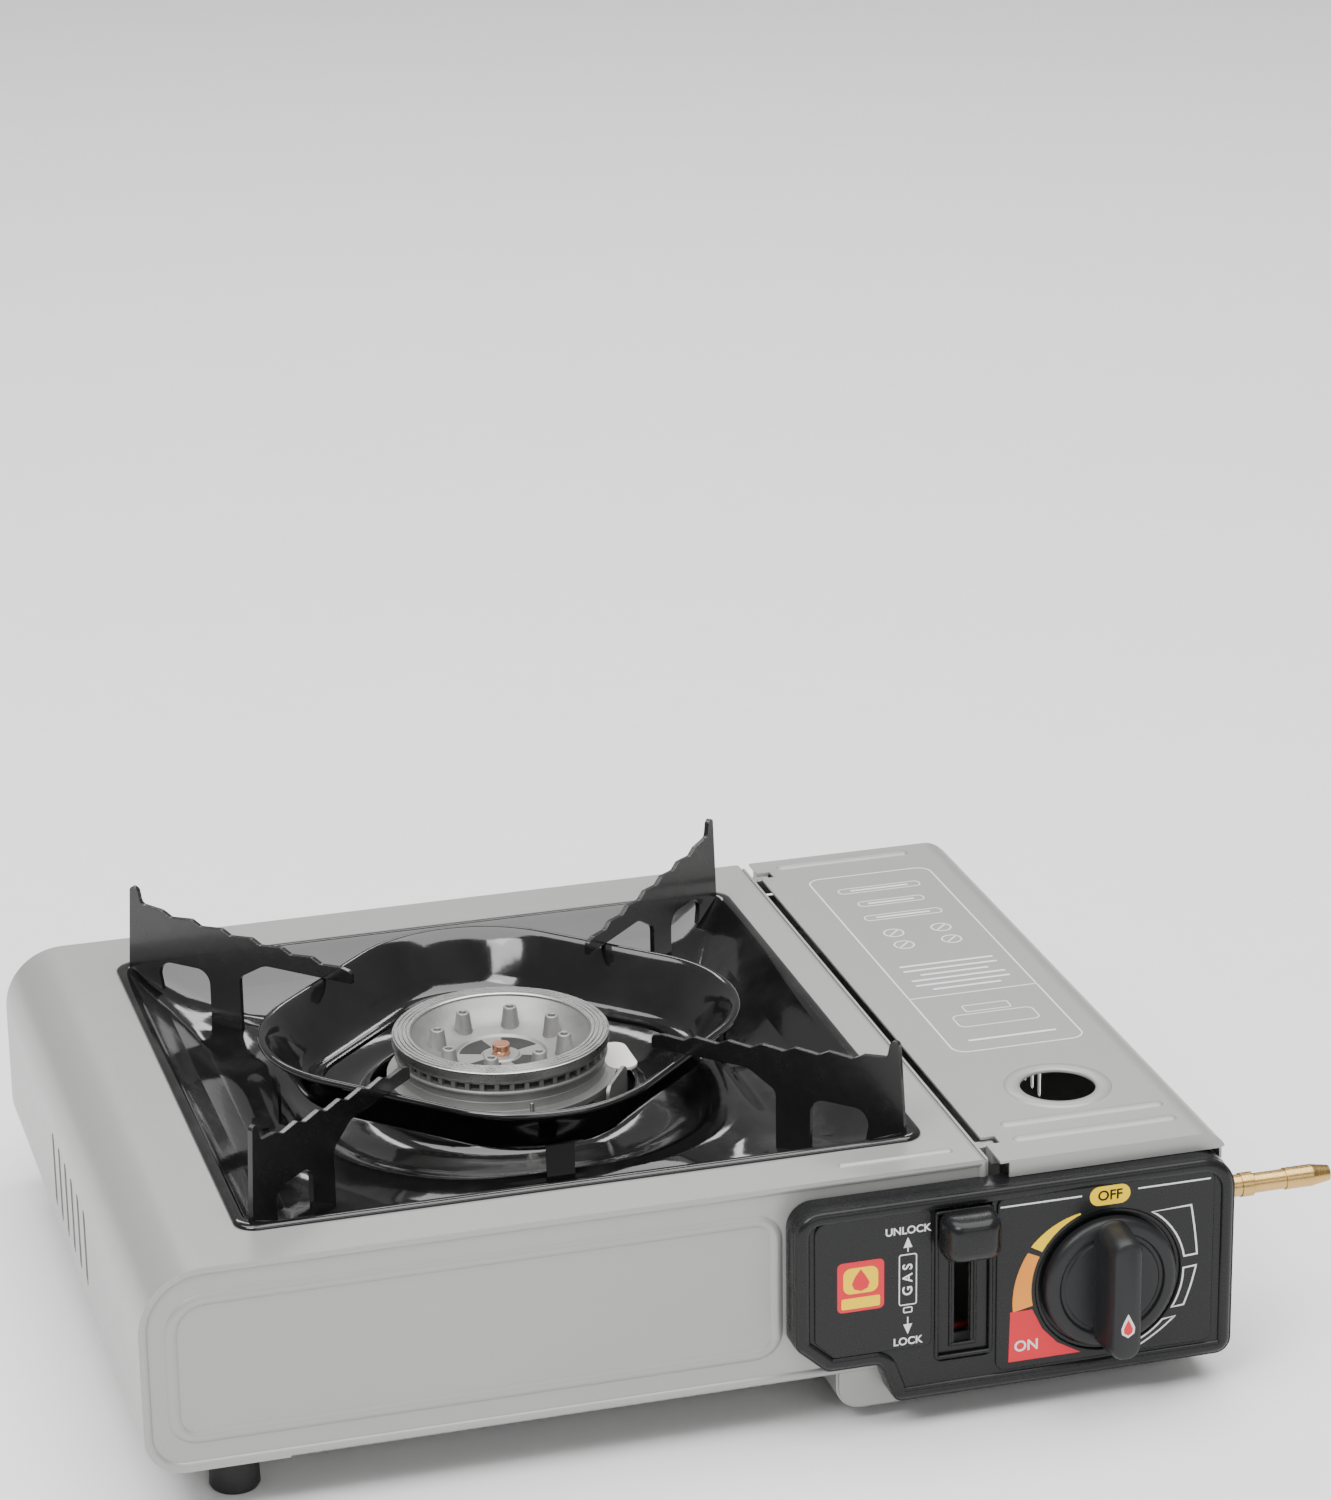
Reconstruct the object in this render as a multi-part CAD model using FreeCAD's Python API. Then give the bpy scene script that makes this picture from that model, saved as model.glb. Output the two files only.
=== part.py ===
"""Portable cartridge camping stove, built as separate pieces.

Frame while modelling: x from the casing's left side, y from its front edge
(+Y to the back), z from the table. Every piece is shifted at the end so that
the origin is the middle of the whole stove's footprint, on the table.
Millimetres, +Z up.
"""
import FreeCAD, Part
import math
import os

Vec = FreeCAD.Vector

# ---------------------------------------------------------------- sizes
# Casing
CASE_W = 340.0            # overall width of the sheet casing
CASE_D = 257.0            # front to back
CASE_TOP = 84.0           # top of the casing above the table
SHEET = 0.8               # painted steel sheet
WRAP_BOTTOM = 18.0        # underside of the burner side above the table
WRAP_R_TOP = 20.0         # top left bend
WRAP_R_BOTTOM = 12.5      # bottom left bend
WRAP_LIP = 31.0           # return lip under the left side, past the bend
PANEL_RECESS = 1.0        # front and rear panels sit this far inside the edge
GAP_LID = 3.0             # open gap between main top and lid
LID_W = 75.0              # lid, left edge to right side
LID_FRONT = 3.0           # lid overhang past the casing's front edge
LID_SKIRT = 12.0          # height of the lid's right and rear skirts
LID_CORNER = 8.0          # rounded rear right corner
LID_BEND = 10.0           # bend along the lid's right side
TOP_FOLD_R = 2.0          # bend of that fold
TOP_FLANGE = 14.0         # main top's fold beside the lid gap
PAN_BOTTOM = 5.0          # underside of the cartridge compartment
PAN_W = 126.0             # width of the compartment pan
PAN_R = 8.0
PAN_LIP = 10.0
CLEAR = 0.5               # air between pieces on different bodies
RUN = 0.06                # radial running clearance of pins and shafts

# Drip tray, pan supports and wind ring
TRAY = 215.0              # outer size of the square tray
TRAY_X = 34.0             # its left edge
TRAY_Y = 19.0             # its front edge
TRAY_RIM = 3.0            # rim that rests on the casing
TRAY_DEPTH = 16.0
TRAY_SLOPE = 20.0         # how far the walls lean in
TRAY_HOLE_R = 43.0        # opening round the burner
TRAY_COLLAR = 5.0
TRAY_R = 6.0
SUPPORT_T = 1.6           # plate of the pan supports
SUPPORT_TIP = 116.0       # top of the horns above the table
SUPPORT_SEAT = 101.0      # lowest seat for a pan, at the inner end
SUPPORT_RISE = 8.0        # how far the toothed edge climbs towards the horn
SUPPORT_IN = 10.0         # arms reach this far inside the wind ring
HORN_INSET = 4.0          # horn tip behind the tray's corner
TEETH = 7                 # steps along the toothed edge
RING_HALF = 66.0          # middle to a flat side of the wind ring
RING_CORNER = 43.0
RING_H = 13.0
RING_T = 1.2
RING_LEDGE = 6.0
RING_LIFT = 12.0          # ring's top edge above the casing top

# Burner and gas parts
BURNER_R = 34.9
BURNER_TOP = 90.8
HEAD_H = 10.8
BURNER_FLANGE_R = 37.0
BOWL_R = 28.0
POSTS = 8
FLAME_SLOTS = 44
TUBE_R = 8.0              # mixing tube
TUBE_WALL = 1.0
TUBE_Z = 53.0
STRIP_T = 1.2             # heat strip
NOZZLE_R = 3.5            # hose nozzle, at its root and tip
NOZZLE_OUT = 41.0         # how far it stands out of the casing
NOZZLE_Y = 14.0
NOZZLE_Z = 56.0
ELECTRODE_R = 2.2

# Controls
PANEL_W = 142.0           # width of the control panel
PANEL_PROUD = 8.0         # how far it stands in front of the casing
PANEL_WALL = 2.2
PANEL_TOP = 78.0
PANEL_LOW = 10.5          # bottom edge of the right part
PANEL_STEP = 24.0         # bottom edge of the left part
KNOB_FROM_RIGHT = 41.4    # knob's axis from the casing's right side
KNOB_Z = 42.0
KNOB_R = 21.5
KNOB_DISC = 4.0
KNOB_GRIP = 13.5          # grip bar in front of the disc
KNOB_GRIP_W = 10.4
KNOB_GAP = 0.5
SPINDLE_R = 4.0
CAM_R = 8.5
CAM_LOBE_R = 3.0
CAM_START = 96.0          # lobe's angle at OFF, from +X, seen from the front
PIEZO_R = 2.6
LEVER_FROM_WALL = 10.3    # middle of the lever arm, left of the divider
LEVER_T = 3.0
LEVER_SWING = 17.0        # half the lever's swing, degrees
LEVER_Z = 52.0            # pivot height
LEVER_Y = 38.0            # pivot depth
LEVER_REACH = 43.0        # pivot to the front of the panel's slot
LEVER_CRANK = 17.0        # pivot to the pusher's drive pin
PIN_R = 2.0
DRIVE_R = 1.5
GRIP_W = 18.0
GRIP_H = 14.5
HINGE_PIN_R = 1.2
HINGE_X = 2.0             # hinge line right of the lid's left edge
HINGE_DROP = 2.4          # hinge line below the lid's top

LEAD_R = 1.2              # ignition lead
LEAD_BEND = 3.5
PIEZO_H = 15.0            # igniter block above its foot
PIEZO_HALF = 5.4          # half its width

# Feet and fasteners
FOOT_R = 7.8
FOOT_X_LEFT = 30.0
FOOT_FROM_RIGHT = 40.0
FOOT_INSET = 22.0         # foot centre from the casing's front and back edges
SCREW_R = 1.5
SCREW_HEAD_R = 2.8
SCREW_HEAD = 1.8

# ------------------------------------------------------ worked out sizes
LID_X = CASE_W - LID_W
TOP_X = LID_X - GAP_LID                       # right edge of the main top
PAN_X = CASE_W - PAN_W                        # left side of the compartment pan
PANEL_X = CASE_W - PANEL_W                    # left edge of the control panel
KNOB_X = CASE_W - KNOB_FROM_RIGHT
LEVER_X = TOP_X - LEVER_FROM_WALL
FOOT_X_RIGHT = CASE_W - FOOT_FROM_RIGHT
PANEL_Y0 = PANEL_RECESS                       # front panel's front face
PANEL_Y1 = PANEL_RECESS + SHEET
REAR_Y1 = CASE_D - PANEL_RECESS
REAR_Y0 = REAR_Y1 - SHEET
SKIN_TOP = CASE_TOP - SHEET                   # underside of the top sheet
FLOOR = WRAP_BOTTOM + SHEET                   # underside of the base pan
PAN_FLOOR = PAN_BOTTOM + SHEET
LEAD_Z = FLOOR + SHEET + 6.0                  # lead's run above the base pan
PIEZO_Z0 = PAN_FLOOR + 1.2                    # underside of the igniter's works
WALL_TOP = CASE_TOP - LID_SKIRT - CLEAR       # top of the compartment walls
DIVIDER_X = TOP_X
CENTRE_X = TRAY_X + TRAY / 2
CENTRE_Y = TRAY_Y + TRAY / 2
TRAY_TOP = CASE_TOP + SHEET
TRAY_FLOOR = CASE_TOP - TRAY_DEPTH
PANEL_FACE = -PANEL_PROUD
KNOB_BACK = PANEL_FACE - KNOB_GAP
KNOB_FACE = KNOB_BACK - KNOB_DISC
KNOB_FRONT = KNOB_FACE - KNOB_GRIP
NOZZLE_TIP = CASE_W + NOZZLE_OUT
HINGE = (LID_X + HINGE_X, CASE_TOP - HINGE_DROP)
REG_X0 = KNOB_X - 15.0                        # regulator block
REG_X1 = KNOB_X + 15.0
REG_Y0 = 12.0
REG_Y1 = 48.0
REG_Z0 = KNOB_Z - 18.0
REG_Z1 = KNOB_Z + 20.0
JET_Y = REG_Y0 + 26.0
_TUBE_DX = REG_X0 - CENTRE_X
_TUBE_DY = JET_Y - CENTRE_Y
TUBE_LEN = math.hypot(_TUBE_DX, _TUBE_DY)     # burner centre to the jet
TUBE_DIR = Vec(_TUBE_DX / TUBE_LEN, _TUBE_DY / TUBE_LEN, 0)
TUBE_SIDE = Vec(-TUBE_DIR.y, TUBE_DIR.x, 0)
TUBE_ANGLE = math.degrees(math.atan2(_TUBE_DY, _TUBE_DX))
DIVIDER_S = (DIVIDER_X - CENTRE_X) / TUBE_DIR.x
DIVIDER_CROSS_Y = CENTRE_Y + DIVIDER_S * TUBE_DIR.y
BAR_X0 = LEVER_X + LEVER_T / 2 + 2.3          # pusher bar beside the lever
BAR_T = 3.0
BAR_Z0 = LEVER_Z + LEVER_CRANK - 3.0
BAR_Z1 = BAR_Z0 + 6.0
BAR_BACK = CASE_D - 29.0                      # pusher tab, at UNLOCK
PUSH_TRAVEL = 2 * LEVER_CRANK * math.sin(math.radians(LEVER_SWING))
ORIGIN_X = NOZZLE_TIP / 2
ORIGIN_Y = (CASE_D + KNOB_FRONT) / 2


# ---------------------------------------------------------------- helpers
def box(x0, x1, y0, y1, z0, z1):
    """Box between two corners."""
    return Part.makeBox(x1 - x0, y1 - y0, z1 - z0, Vec(x0, y0, z0))


def rod(start, direction, radius, length):
    """Cylinder from a start point along a direction."""
    return Part.makeCylinder(radius, length, Vec(*start), Vec(*direction))


def tube(start, direction, outer, inner, length):
    """Hollow cylinder."""
    return rod(start, direction, outer, length).cut(rod(start, direction, inner, length))


def rounded_face(corners, place):
    """Flat face from corners (a, b, radius); place maps (a, b) to space."""
    count = len(corners)
    edges = []
    ends = []
    for i in range(count):
        a, b, radius = corners[i]
        here = Vec(a, b, 0)
        before = Vec(corners[i - 1][0], corners[i - 1][1], 0)
        after = Vec(corners[(i + 1) % count][0], corners[(i + 1) % count][1], 0)
        to_before = (before - here).normalize()
        to_after = (after - here).normalize()
        if radius <= 0:
            ends.append((here, here, None))
            continue
        half = math.acos(max(-1.0, min(1.0, to_before.dot(to_after)))) / 2
        reach = radius / math.tan(half)
        middle = here + (to_before + to_after).normalize() * (radius / math.sin(half))
        crown = middle + (here - middle).normalize() * radius
        ends.append((here + to_before * reach, here + to_after * reach, crown))
    for i in range(count):
        arrive, leave, crown = ends[i]
        if crown is not None:
            edges.append(Part.Arc(place(arrive), place(crown), place(leave)).toShape())
        start_next = ends[(i + 1) % count][0]
        if leave.distanceToPoint(start_next) > 1e-6:
            edges.append(Part.makeLine(place(leave), place(start_next)))
    return Part.Face(Part.Wire(edges))


def in_xz(y):
    """Map a drawing's (a, b) to (x, z) at one depth."""
    return lambda p: Vec(p.x, y, p.y)


def in_xy(z):
    """Map a drawing's (a, b) to (x, y) at one height."""
    return lambda p: Vec(p.x, p.y, z)


def in_yz(x):
    """Map a drawing's (a, b) to (y, z) at one width."""
    return lambda p: Vec(x, p.x, p.y)


def slab_y(corners, y0, y1):
    """Prism of an (x, z) outline between two depths."""
    return rounded_face(corners, in_xz(y0)).extrude(Vec(0, y1 - y0, 0))


def slab_z(corners, z0, z1):
    """Prism of an (x, y) outline between two heights."""
    return rounded_face(corners, in_xy(z0)).extrude(Vec(0, 0, z1 - z0))


def slab_x(corners, x0, x1):
    """Prism of a (y, z) outline between two widths."""
    return rounded_face(corners, in_yz(x0)).extrude(Vec(x1 - x0, 0, 0))


def offset_point(before, here, after, distance):
    """Corner of a line offset to the left of its direction of travel."""
    first = None
    second = None
    if before is not None:
        first = (here - before).normalize()
    if after is not None:
        second = (after - here).normalize()
    first = first or second
    second = second or first
    n1 = Vec(-first.y, first.x, 0)
    n2 = Vec(-second.y, second.x, 0)
    return here + (n1 + n2) * (distance / (1 + n1.dot(n2))), first.cross(second).z


def bent_sheet(path, thickness, side, y0, y1):
    """Folded sheet: path of (x, z, outer radius), thickness to one side (+1 left)."""
    points = [Vec(x, z, 0) for x, z, _ in path]
    inner = []
    last = len(path) - 1
    for i, here in enumerate(points):
        before = points[i - 1] if i > 0 else None
        after = points[i + 1] if i < last else None
        moved, turn = offset_point(before, here, after, side * thickness)
        radius = path[i][2]
        if radius > 0:
            radius += -thickness if turn * side > 0 else thickness
        inner.append((moved.x, moved.y, max(radius, 0)))
    return slab_y(list(path) + inner[::-1], y0, y1)


def inset(corners, distance):
    """Closed outline moved inwards; corners run anticlockwise."""
    result = []
    count = len(corners)
    for i, (a, b, radius) in enumerate(corners):
        before = Vec(corners[i - 1][0], corners[i - 1][1], 0)
        after = Vec(corners[(i + 1) % count][0], corners[(i + 1) % count][1], 0)
        moved, turn = offset_point(before, Vec(a, b, 0), after, distance)
        shrunk = radius - distance if turn > 0 else radius + distance
        result.append((moved.x, moved.y, max(shrunk, 0)))
    return result


def square(x0, x1, y0, y1, radius):
    """Rounded rectangle, anticlockwise."""
    return [(x0, y0, radius), (x1, y0, radius), (x1, y1, radius), (x0, y1, radius)]


def cut_all(shape, tools):
    """Cut a list of tools from a shape."""
    for tool in tools:
        shape = shape.cut(tool)
    return shape


def fuse_all(shapes):
    """One solid from several that overlap or touch."""
    result = shapes[0]
    for other in shapes[1:]:
        result = result.fuse(other)
    return result.removeSplitter()


def revolve_z(profile, x, y):
    """Turned piece about a vertical axis; profile is (radius, z) corners."""
    place = lambda p: Vec(x + p.x, y, p.y)
    face = rounded_face([(r, z, 0) for r, z in profile], place)
    return face.revolve(Vec(x, y, 0), Vec(0, 0, 1), 360)


def revolve_x(profile, y, z):
    """Turned piece about a line along X; profile is (x, radius) corners."""
    place = lambda p: Vec(p.x, y, z + p.y)
    face = rounded_face([(x, r, 0) for x, r in profile], place)
    return face.revolve(Vec(0, y, z), Vec(1, 0, 0), 360)


def along_tube(shape):
    """Place a piece drawn along +X from the burner's centre onto the mixing tube."""
    shape.rotate(Vec(0, 0, 0), Vec(0, 0, 1), TUBE_ANGLE)
    shape.translate(Vec(CENTRE_X, CENTRE_Y, 0))
    return shape


def piped(points, bend, radius):
    """Round bar along straight runs joined by tangent arcs."""
    edges = []
    start = points[0]
    for i in range(1, len(points) - 1):
        here = points[i]
        back = (points[i - 1] - here).normalize()
        ahead = (points[i + 1] - here).normalize()
        half = math.acos(back.dot(ahead)) / 2
        reach = bend / math.tan(half)
        arrive = here + back * reach
        leave = here + ahead * reach
        middle = here + (back + ahead).normalize() * (bend / math.sin(half))
        crown = middle + (here - middle).normalize() * bend
        edges.append(Part.makeLine(start, arrive))
        edges.append(Part.Arc(arrive, crown, leave).toShape())
        start = leave
    edges.append(Part.makeLine(start, points[-1]))
    circle = Part.Wire(Part.makeCircle(radius, points[0], points[1] - points[0]))
    return Part.Wire(edges).makePipeShell([circle], True, True)


# ---------------------------------------------------------------- outlines
def end_panel_outline():
    """Outline shared by the front and rear panels, inside the folded sheets."""
    return [
        (SHEET, FLOOR, WRAP_R_BOTTOM - SHEET),
        (PAN_X + SHEET, FLOOR, 0),
        (PAN_X + SHEET, PAN_FLOOR, PAN_R - SHEET),
        (CASE_W - SHEET, PAN_FLOOR, PAN_R - SHEET),
        (CASE_W - SHEET, WALL_TOP, 0),
        (TOP_X - SHEET, WALL_TOP, 0),
        (TOP_X - SHEET, SKIN_TOP, TOP_FOLD_R - SHEET),
        (SHEET, SKIN_TOP, WRAP_R_TOP - SHEET),
    ]


def control_outline():
    """Front outline of the control panel, anticlockwise seen from the front."""
    return [
        (PANEL_X, PANEL_STEP + 9, 4),
        (PANEL_X + 10, PANEL_STEP, 4),
        (PANEL_X + 27, PANEL_STEP, 3),
        (PANEL_X + 32, PANEL_LOW, 3),
        (CASE_W, PANEL_LOW, 5),
        (CASE_W, PANEL_TOP, 11),
        (PANEL_X, PANEL_TOP, 8),
    ]


def panel_screw_places():
    """(x, z) of the screws that hold the control panel."""
    high = PANEL_TOP - 14.0
    return [(PANEL_X + 10, high), (PANEL_X + 10, PANEL_STEP + 12), (CASE_W - 10, PANEL_LOW + 7.0)]


def base_screw_places():
    """(x, y) of the screws under the base."""
    left = FOOT_X_LEFT
    right = PAN_X - PAN_LIP / 2
    return [(x, y) for x in (left, right) for y in (CASE_D * 0.3, CASE_D * 0.7)]


# ---------------------------------------------------------------- casing
def vent_slots(x, y_middle, z0, z1, count, width, pitch):
    """Row of upright slots through a wall at one x."""
    slots = []
    for i in range(count):
        y = y_middle + (i - (count - 1) / 2) * pitch
        radius = width / 2 - 0.01
        outline = square(y - width / 2, y + width / 2, z0, z1, radius)
        slots.append(slab_x(outline, x - 2, x + 2))
    return slots


def top_casing():
    """Folded main cover: lip, left side and top, with the tray opening."""
    path = [
        (WRAP_R_BOTTOM + WRAP_LIP, WRAP_BOTTOM, 0),
        (0, WRAP_BOTTOM, WRAP_R_BOTTOM),
        (0, CASE_TOP, WRAP_R_TOP),
        (TOP_X, CASE_TOP, TOP_FOLD_R),
        (TOP_X, CASE_TOP - TOP_FLANGE, 0),
    ]
    body = bent_sheet(path, SHEET, -1, 0, CASE_D)
    opening = square(TRAY_X + TRAY_RIM, TRAY_X + TRAY - TRAY_RIM,
                     TRAY_Y + TRAY_RIM, TRAY_Y + TRAY - TRAY_RIM, TRAY_R)
    tools = [slab_z(opening, SKIN_TOP - 2, CASE_TOP + 2)]
    tools.append(box(TOP_X - SHEET, TOP_X + 1, -1, PANEL_Y1, CASE_TOP - TOP_FLANGE - 1, SKIN_TOP))
    tools.append(box(TOP_X - SHEET, TOP_X + 1, REAR_Y0, CASE_D + 1, CASE_TOP - TOP_FLANGE - 1, SKIN_TOP))
    low = WRAP_BOTTOM + WRAP_R_BOTTOM + 4
    high = CASE_TOP - WRAP_R_TOP - 4
    tools += vent_slots(0, CASE_D / 2, low, high, 6, 4.0, 12.0)
    tools += base_screw_holes(WRAP_BOTTOM)
    return cut_all(body, tools)


def base_screw_holes(z):
    """Holes for the base screws through a sheet near one height."""
    return [rod((x, y, z - 2), (0, 0, 1), SCREW_R, 5) for x, y in base_screw_places()]


def front_panel():
    """Front sheet, with the lobe that closes the compartment's front."""
    body = slab_y(end_panel_outline(), PANEL_Y0, PANEL_Y1)
    tools = [
        box(LEVER_X - 5, LEVER_X + 5, -1, 4, PANEL_STEP + 2, PANEL_TOP - 3),
        rod((KNOB_X, -1, KNOB_Z), (0, 1, 0), SPINDLE_R + 8, 5),
    ]
    for x, z in panel_screw_places():
        tools.append(rod((x, -1, z), (0, 1, 0), SCREW_R, 5))
    return cut_all(body, tools)


def rear_panel():
    """Rear sheet with two rows of vents."""
    body = slab_y(end_panel_outline(), REAR_Y0, REAR_Y1)
    low = WRAP_BOTTOM + WRAP_R_BOTTOM + 6
    tools = []
    for i in range(10):
        x = CENTRE_X + (i - 4.5) * 14
        tools.append(slab_y(square(x - 2, x + 2, low, low + 22, 1.9), REAR_Y0 - 1, REAR_Y1 + 1))
    return cut_all(body, tools)


def base_pan():
    """Flat floor under the burner side."""
    body = box(WRAP_R_BOTTOM + 1, DIVIDER_X, PANEL_Y1, REAR_Y0, FLOOR, FLOOR + SHEET)
    tools = base_screw_holes(FLOOR)
    for i in range(5):
        y = CENTRE_Y + (i - 2) * 16
        outline = square(CENTRE_X - 40, CENTRE_X + 40, y - 2.5, y + 2.5, 2.4)
        tools.append(slab_z(outline, FLOOR - 1, FLOOR + 2))
    return cut_all(body, tools)


def compartment_pan():
    """Folded trough under and beside the gas cartridge."""
    path = [
        (PAN_X - PAN_LIP, WRAP_BOTTOM, 0),
        (PAN_X, WRAP_BOTTOM, 0),
        (PAN_X, PAN_BOTTOM, PAN_R),
        (CASE_W, PAN_BOTTOM, PAN_R),
        (CASE_W, WALL_TOP, 0),
    ]
    body = bent_sheet(path, SHEET, 1, PANEL_Y1, REAR_Y0)
    tools = [rod((CASE_W - 3, NOZZLE_Y, NOZZLE_Z), (1, 0, 0), NOZZLE_R + 3, 5)]
    low = PAN_BOTTOM + PAN_R + 12
    for middle in (CASE_D * 0.3, CASE_D * 0.72):
        tools += vent_slots(CASE_W, middle, low, low + 30, 8, 3.0, 7.0)
    tools += base_screw_holes(WRAP_BOTTOM)
    return cut_all(body, tools)


def divider_wall():
    """Upright sheet between the burner side and the cartridge."""
    body = box(DIVIDER_X, DIVIDER_X + SHEET, PANEL_Y1, REAR_Y0, PAN_FLOOR, SKIN_TOP)
    window_y = DIVIDER_CROSS_Y
    tab_y1 = BAR_BACK + 3 + CLEAR * 3
    tab_y0 = BAR_BACK - PUSH_TRAVEL - CLEAR * 3
    tools = [
        box(DIVIDER_X - 1, DIVIDER_X + 2, window_y - 17, window_y + 17,
            TUBE_Z - TUBE_R - 4.5, TUBE_Z + TUBE_R + 1.5),
        box(DIVIDER_X - 1, DIVIDER_X + 2, tab_y0, tab_y1, BAR_Z0 - 8.5, BAR_Z1 - 1.5),
        rod((DIVIDER_X - 1, 7.0, LEAD_Z), (1, 0, 0), 3.0, 4),
    ]
    return cut_all(body, tools)


def lid():
    """Hinged cover over the cartridge compartment."""
    right = CASE_W
    low = CASE_TOP - LID_SKIRT
    section = [(LID_X, low, 0), (right, low, 0), (right, CASE_TOP, LID_BEND), (LID_X, CASE_TOP, 0)]
    plan = [
        (LID_X, -LID_FRONT, 0),
        (right, -LID_FRONT, 4),
        (right, CASE_D, LID_CORNER),
        (LID_X, CASE_D, 0),
    ]
    body = slab_y(section, -LID_FRONT, CASE_D).common(slab_z(plan, low, CASE_TOP))
    inside = right - SHEET
    section = [(LID_X - 5, low - 1, 0), (inside, low - 1, 0)]
    section += [(inside, SKIN_TOP, LID_BEND - SHEET), (LID_X - 5, SKIN_TOP, 0)]
    plan = [
        (LID_X - 5, SHEET - LID_FRONT, 0),
        (inside, SHEET - LID_FRONT, 4 - SHEET),
        (inside, CASE_D - SHEET, LID_CORNER - SHEET),
        (LID_X - 5, CASE_D - SHEET, 0),
    ]
    hollow = slab_y(section, SHEET - LID_FRONT, CASE_D - SHEET).common(slab_z(plan, low - 1, SKIN_TOP))
    lip = CASE_TOP - PANEL_TOP - 0.4
    ear = HINGE_PIN_R + 0.8
    hole_x, hole_y, hole_r = lid_hole()
    tools = [
        hollow,
        box(LID_X - 1, right + 1, -LID_FRONT - 1, 3.0, CASE_TOP - LID_SKIRT - 1, CASE_TOP - lip),
        box(LID_X - 1, HINGE[0] + 1, -LID_FRONT - 1, CASE_D + 1, CASE_TOP - LID_SKIRT - 1, SKIN_TOP),
        rod((hole_x, hole_y, CASE_TOP - 5), (0, 0, 1), hole_r, 10),
    ]
    body = cut_all(body, tools)
    ears = []
    for y0, y1 in hinge_ears():
        ears.append(box(HINGE[0] - ear, HINGE[0] + ear, y0, y1, HINGE[1] - ear, SKIN_TOP))
    body = fuse_all([body] + ears)
    tools = []
    for y0, y1 in hinge_ears():
        tools.append(rod((HINGE[0], y0 - 1, HINGE[1]), (0, 1, 0), HINGE_PIN_R + RUN, y1 - y0 + 2))
    for y0, y1 in hinge_blocks():
        tools.append(box(LID_X - 1, HINGE[0] + 2.6, y0 - CLEAR, y1 + CLEAR, SKIN_TOP - 4, CASE_TOP + 1))
    return cut_all(body, tools)


def lid_hole():
    """Centre and radius of the finger hole."""
    return KNOB_X + 2.8, 44.5, 12.0


def hinge_ears():
    """Depth spans of the lid's two hinge ears."""
    return [(5.0, 10.0), (CASE_D - 10.0, CASE_D - 5.0)]


def hinge_blocks():
    """Depth spans of the fixed blocks that carry the hinge pins."""
    front, back = hinge_ears()
    return [(front[1] + CLEAR, front[1] + CLEAR + 4), (back[0] - CLEAR - 4, back[0] - CLEAR)]


def lid_hinge_pins():
    """Two pins on blocks fixed to the divider wall."""
    pieces = []
    for (y0, y1), (e0, e1) in zip(hinge_blocks(), hinge_ears()):
        half = HINGE_PIN_R + 0.2
        block = box(DIVIDER_X + SHEET, HINGE[0] + half, y0, y1, HINGE[1] - half, HINGE[1] + half)
        start = min(e0, y0)
        length = max(e1, y1) - start
        pieces.append(fuse_all([block, rod((HINGE[0], start, HINGE[1]), (0, 1, 0), HINGE_PIN_R, length)]))
    return Part.makeCompound(pieces)


# ---------------------------------------------------------------- tray group
def frustum(half_top, half_low, z_top, z_low, radius):
    """Square pyramid stump with rounded corners, about the burner's axis."""
    def ring(half, z):
        outline = square(CENTRE_X - half, CENTRE_X + half, CENTRE_Y - half, CENTRE_Y + half, radius)
        return rounded_face(outline, in_xy(z)).OuterWire
    return Part.makeLoft([ring(half_low, z_low), ring(half_top, z_top)], True, True)


def drip_tray():
    """Pressed tray: rim, leaning walls, floor and a collar round the burner."""
    half = TRAY / 2
    inner = half - TRAY_RIM - CLEAR
    floor_half = inner - TRAY_SLOPE
    outer = frustum(inner, floor_half, CASE_TOP, TRAY_FLOOR - SHEET, TRAY_R)
    outline = square(CENTRE_X - half, CENTRE_X + half, CENTRE_Y - half, CENTRE_Y + half, TRAY_R)
    rim = slab_z(outline, CASE_TOP, TRAY_TOP)
    collar = rod((CENTRE_X, CENTRE_Y, TRAY_FLOOR - SHEET), (0, 0, 1), TRAY_HOLE_R + SHEET, TRAY_COLLAR)
    hollow = frustum(inner - SHEET, floor_half - SHEET, TRAY_TOP + 0.01, TRAY_FLOOR, TRAY_R)
    body = fuse_all([outer, rim]).cut(hollow)
    body = fuse_all([body, collar])
    return body.cut(rod((CENTRE_X, CENTRE_Y, 0), (0, 0, 1), TRAY_HOLE_R, 200))


def ring_outline(half):
    """Rounded square with its corners on the X and Y axes."""
    corner = half * math.sqrt(2)
    radius = max(RING_CORNER - (RING_HALF - half), 1)
    return [
        (CENTRE_X, CENTRE_Y - corner, radius),
        (CENTRE_X + corner, CENTRE_Y, radius),
        (CENTRE_X, CENTRE_Y + corner, radius),
        (CENTRE_X - corner, CENTRE_Y, radius),
    ]


def wind_ring():
    """Wind shield: upright wall with a ledge turned inwards at its foot."""
    top = CASE_TOP + RING_LIFT
    low = top - RING_H
    wall = slab_z(ring_outline(RING_HALF), low, top)
    wall = wall.cut(slab_z(ring_outline(RING_HALF - RING_T), low + RING_T, top + 1))
    return wall.cut(slab_z(ring_outline(RING_HALF - RING_LEDGE), low - 1, top + 1))


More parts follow.
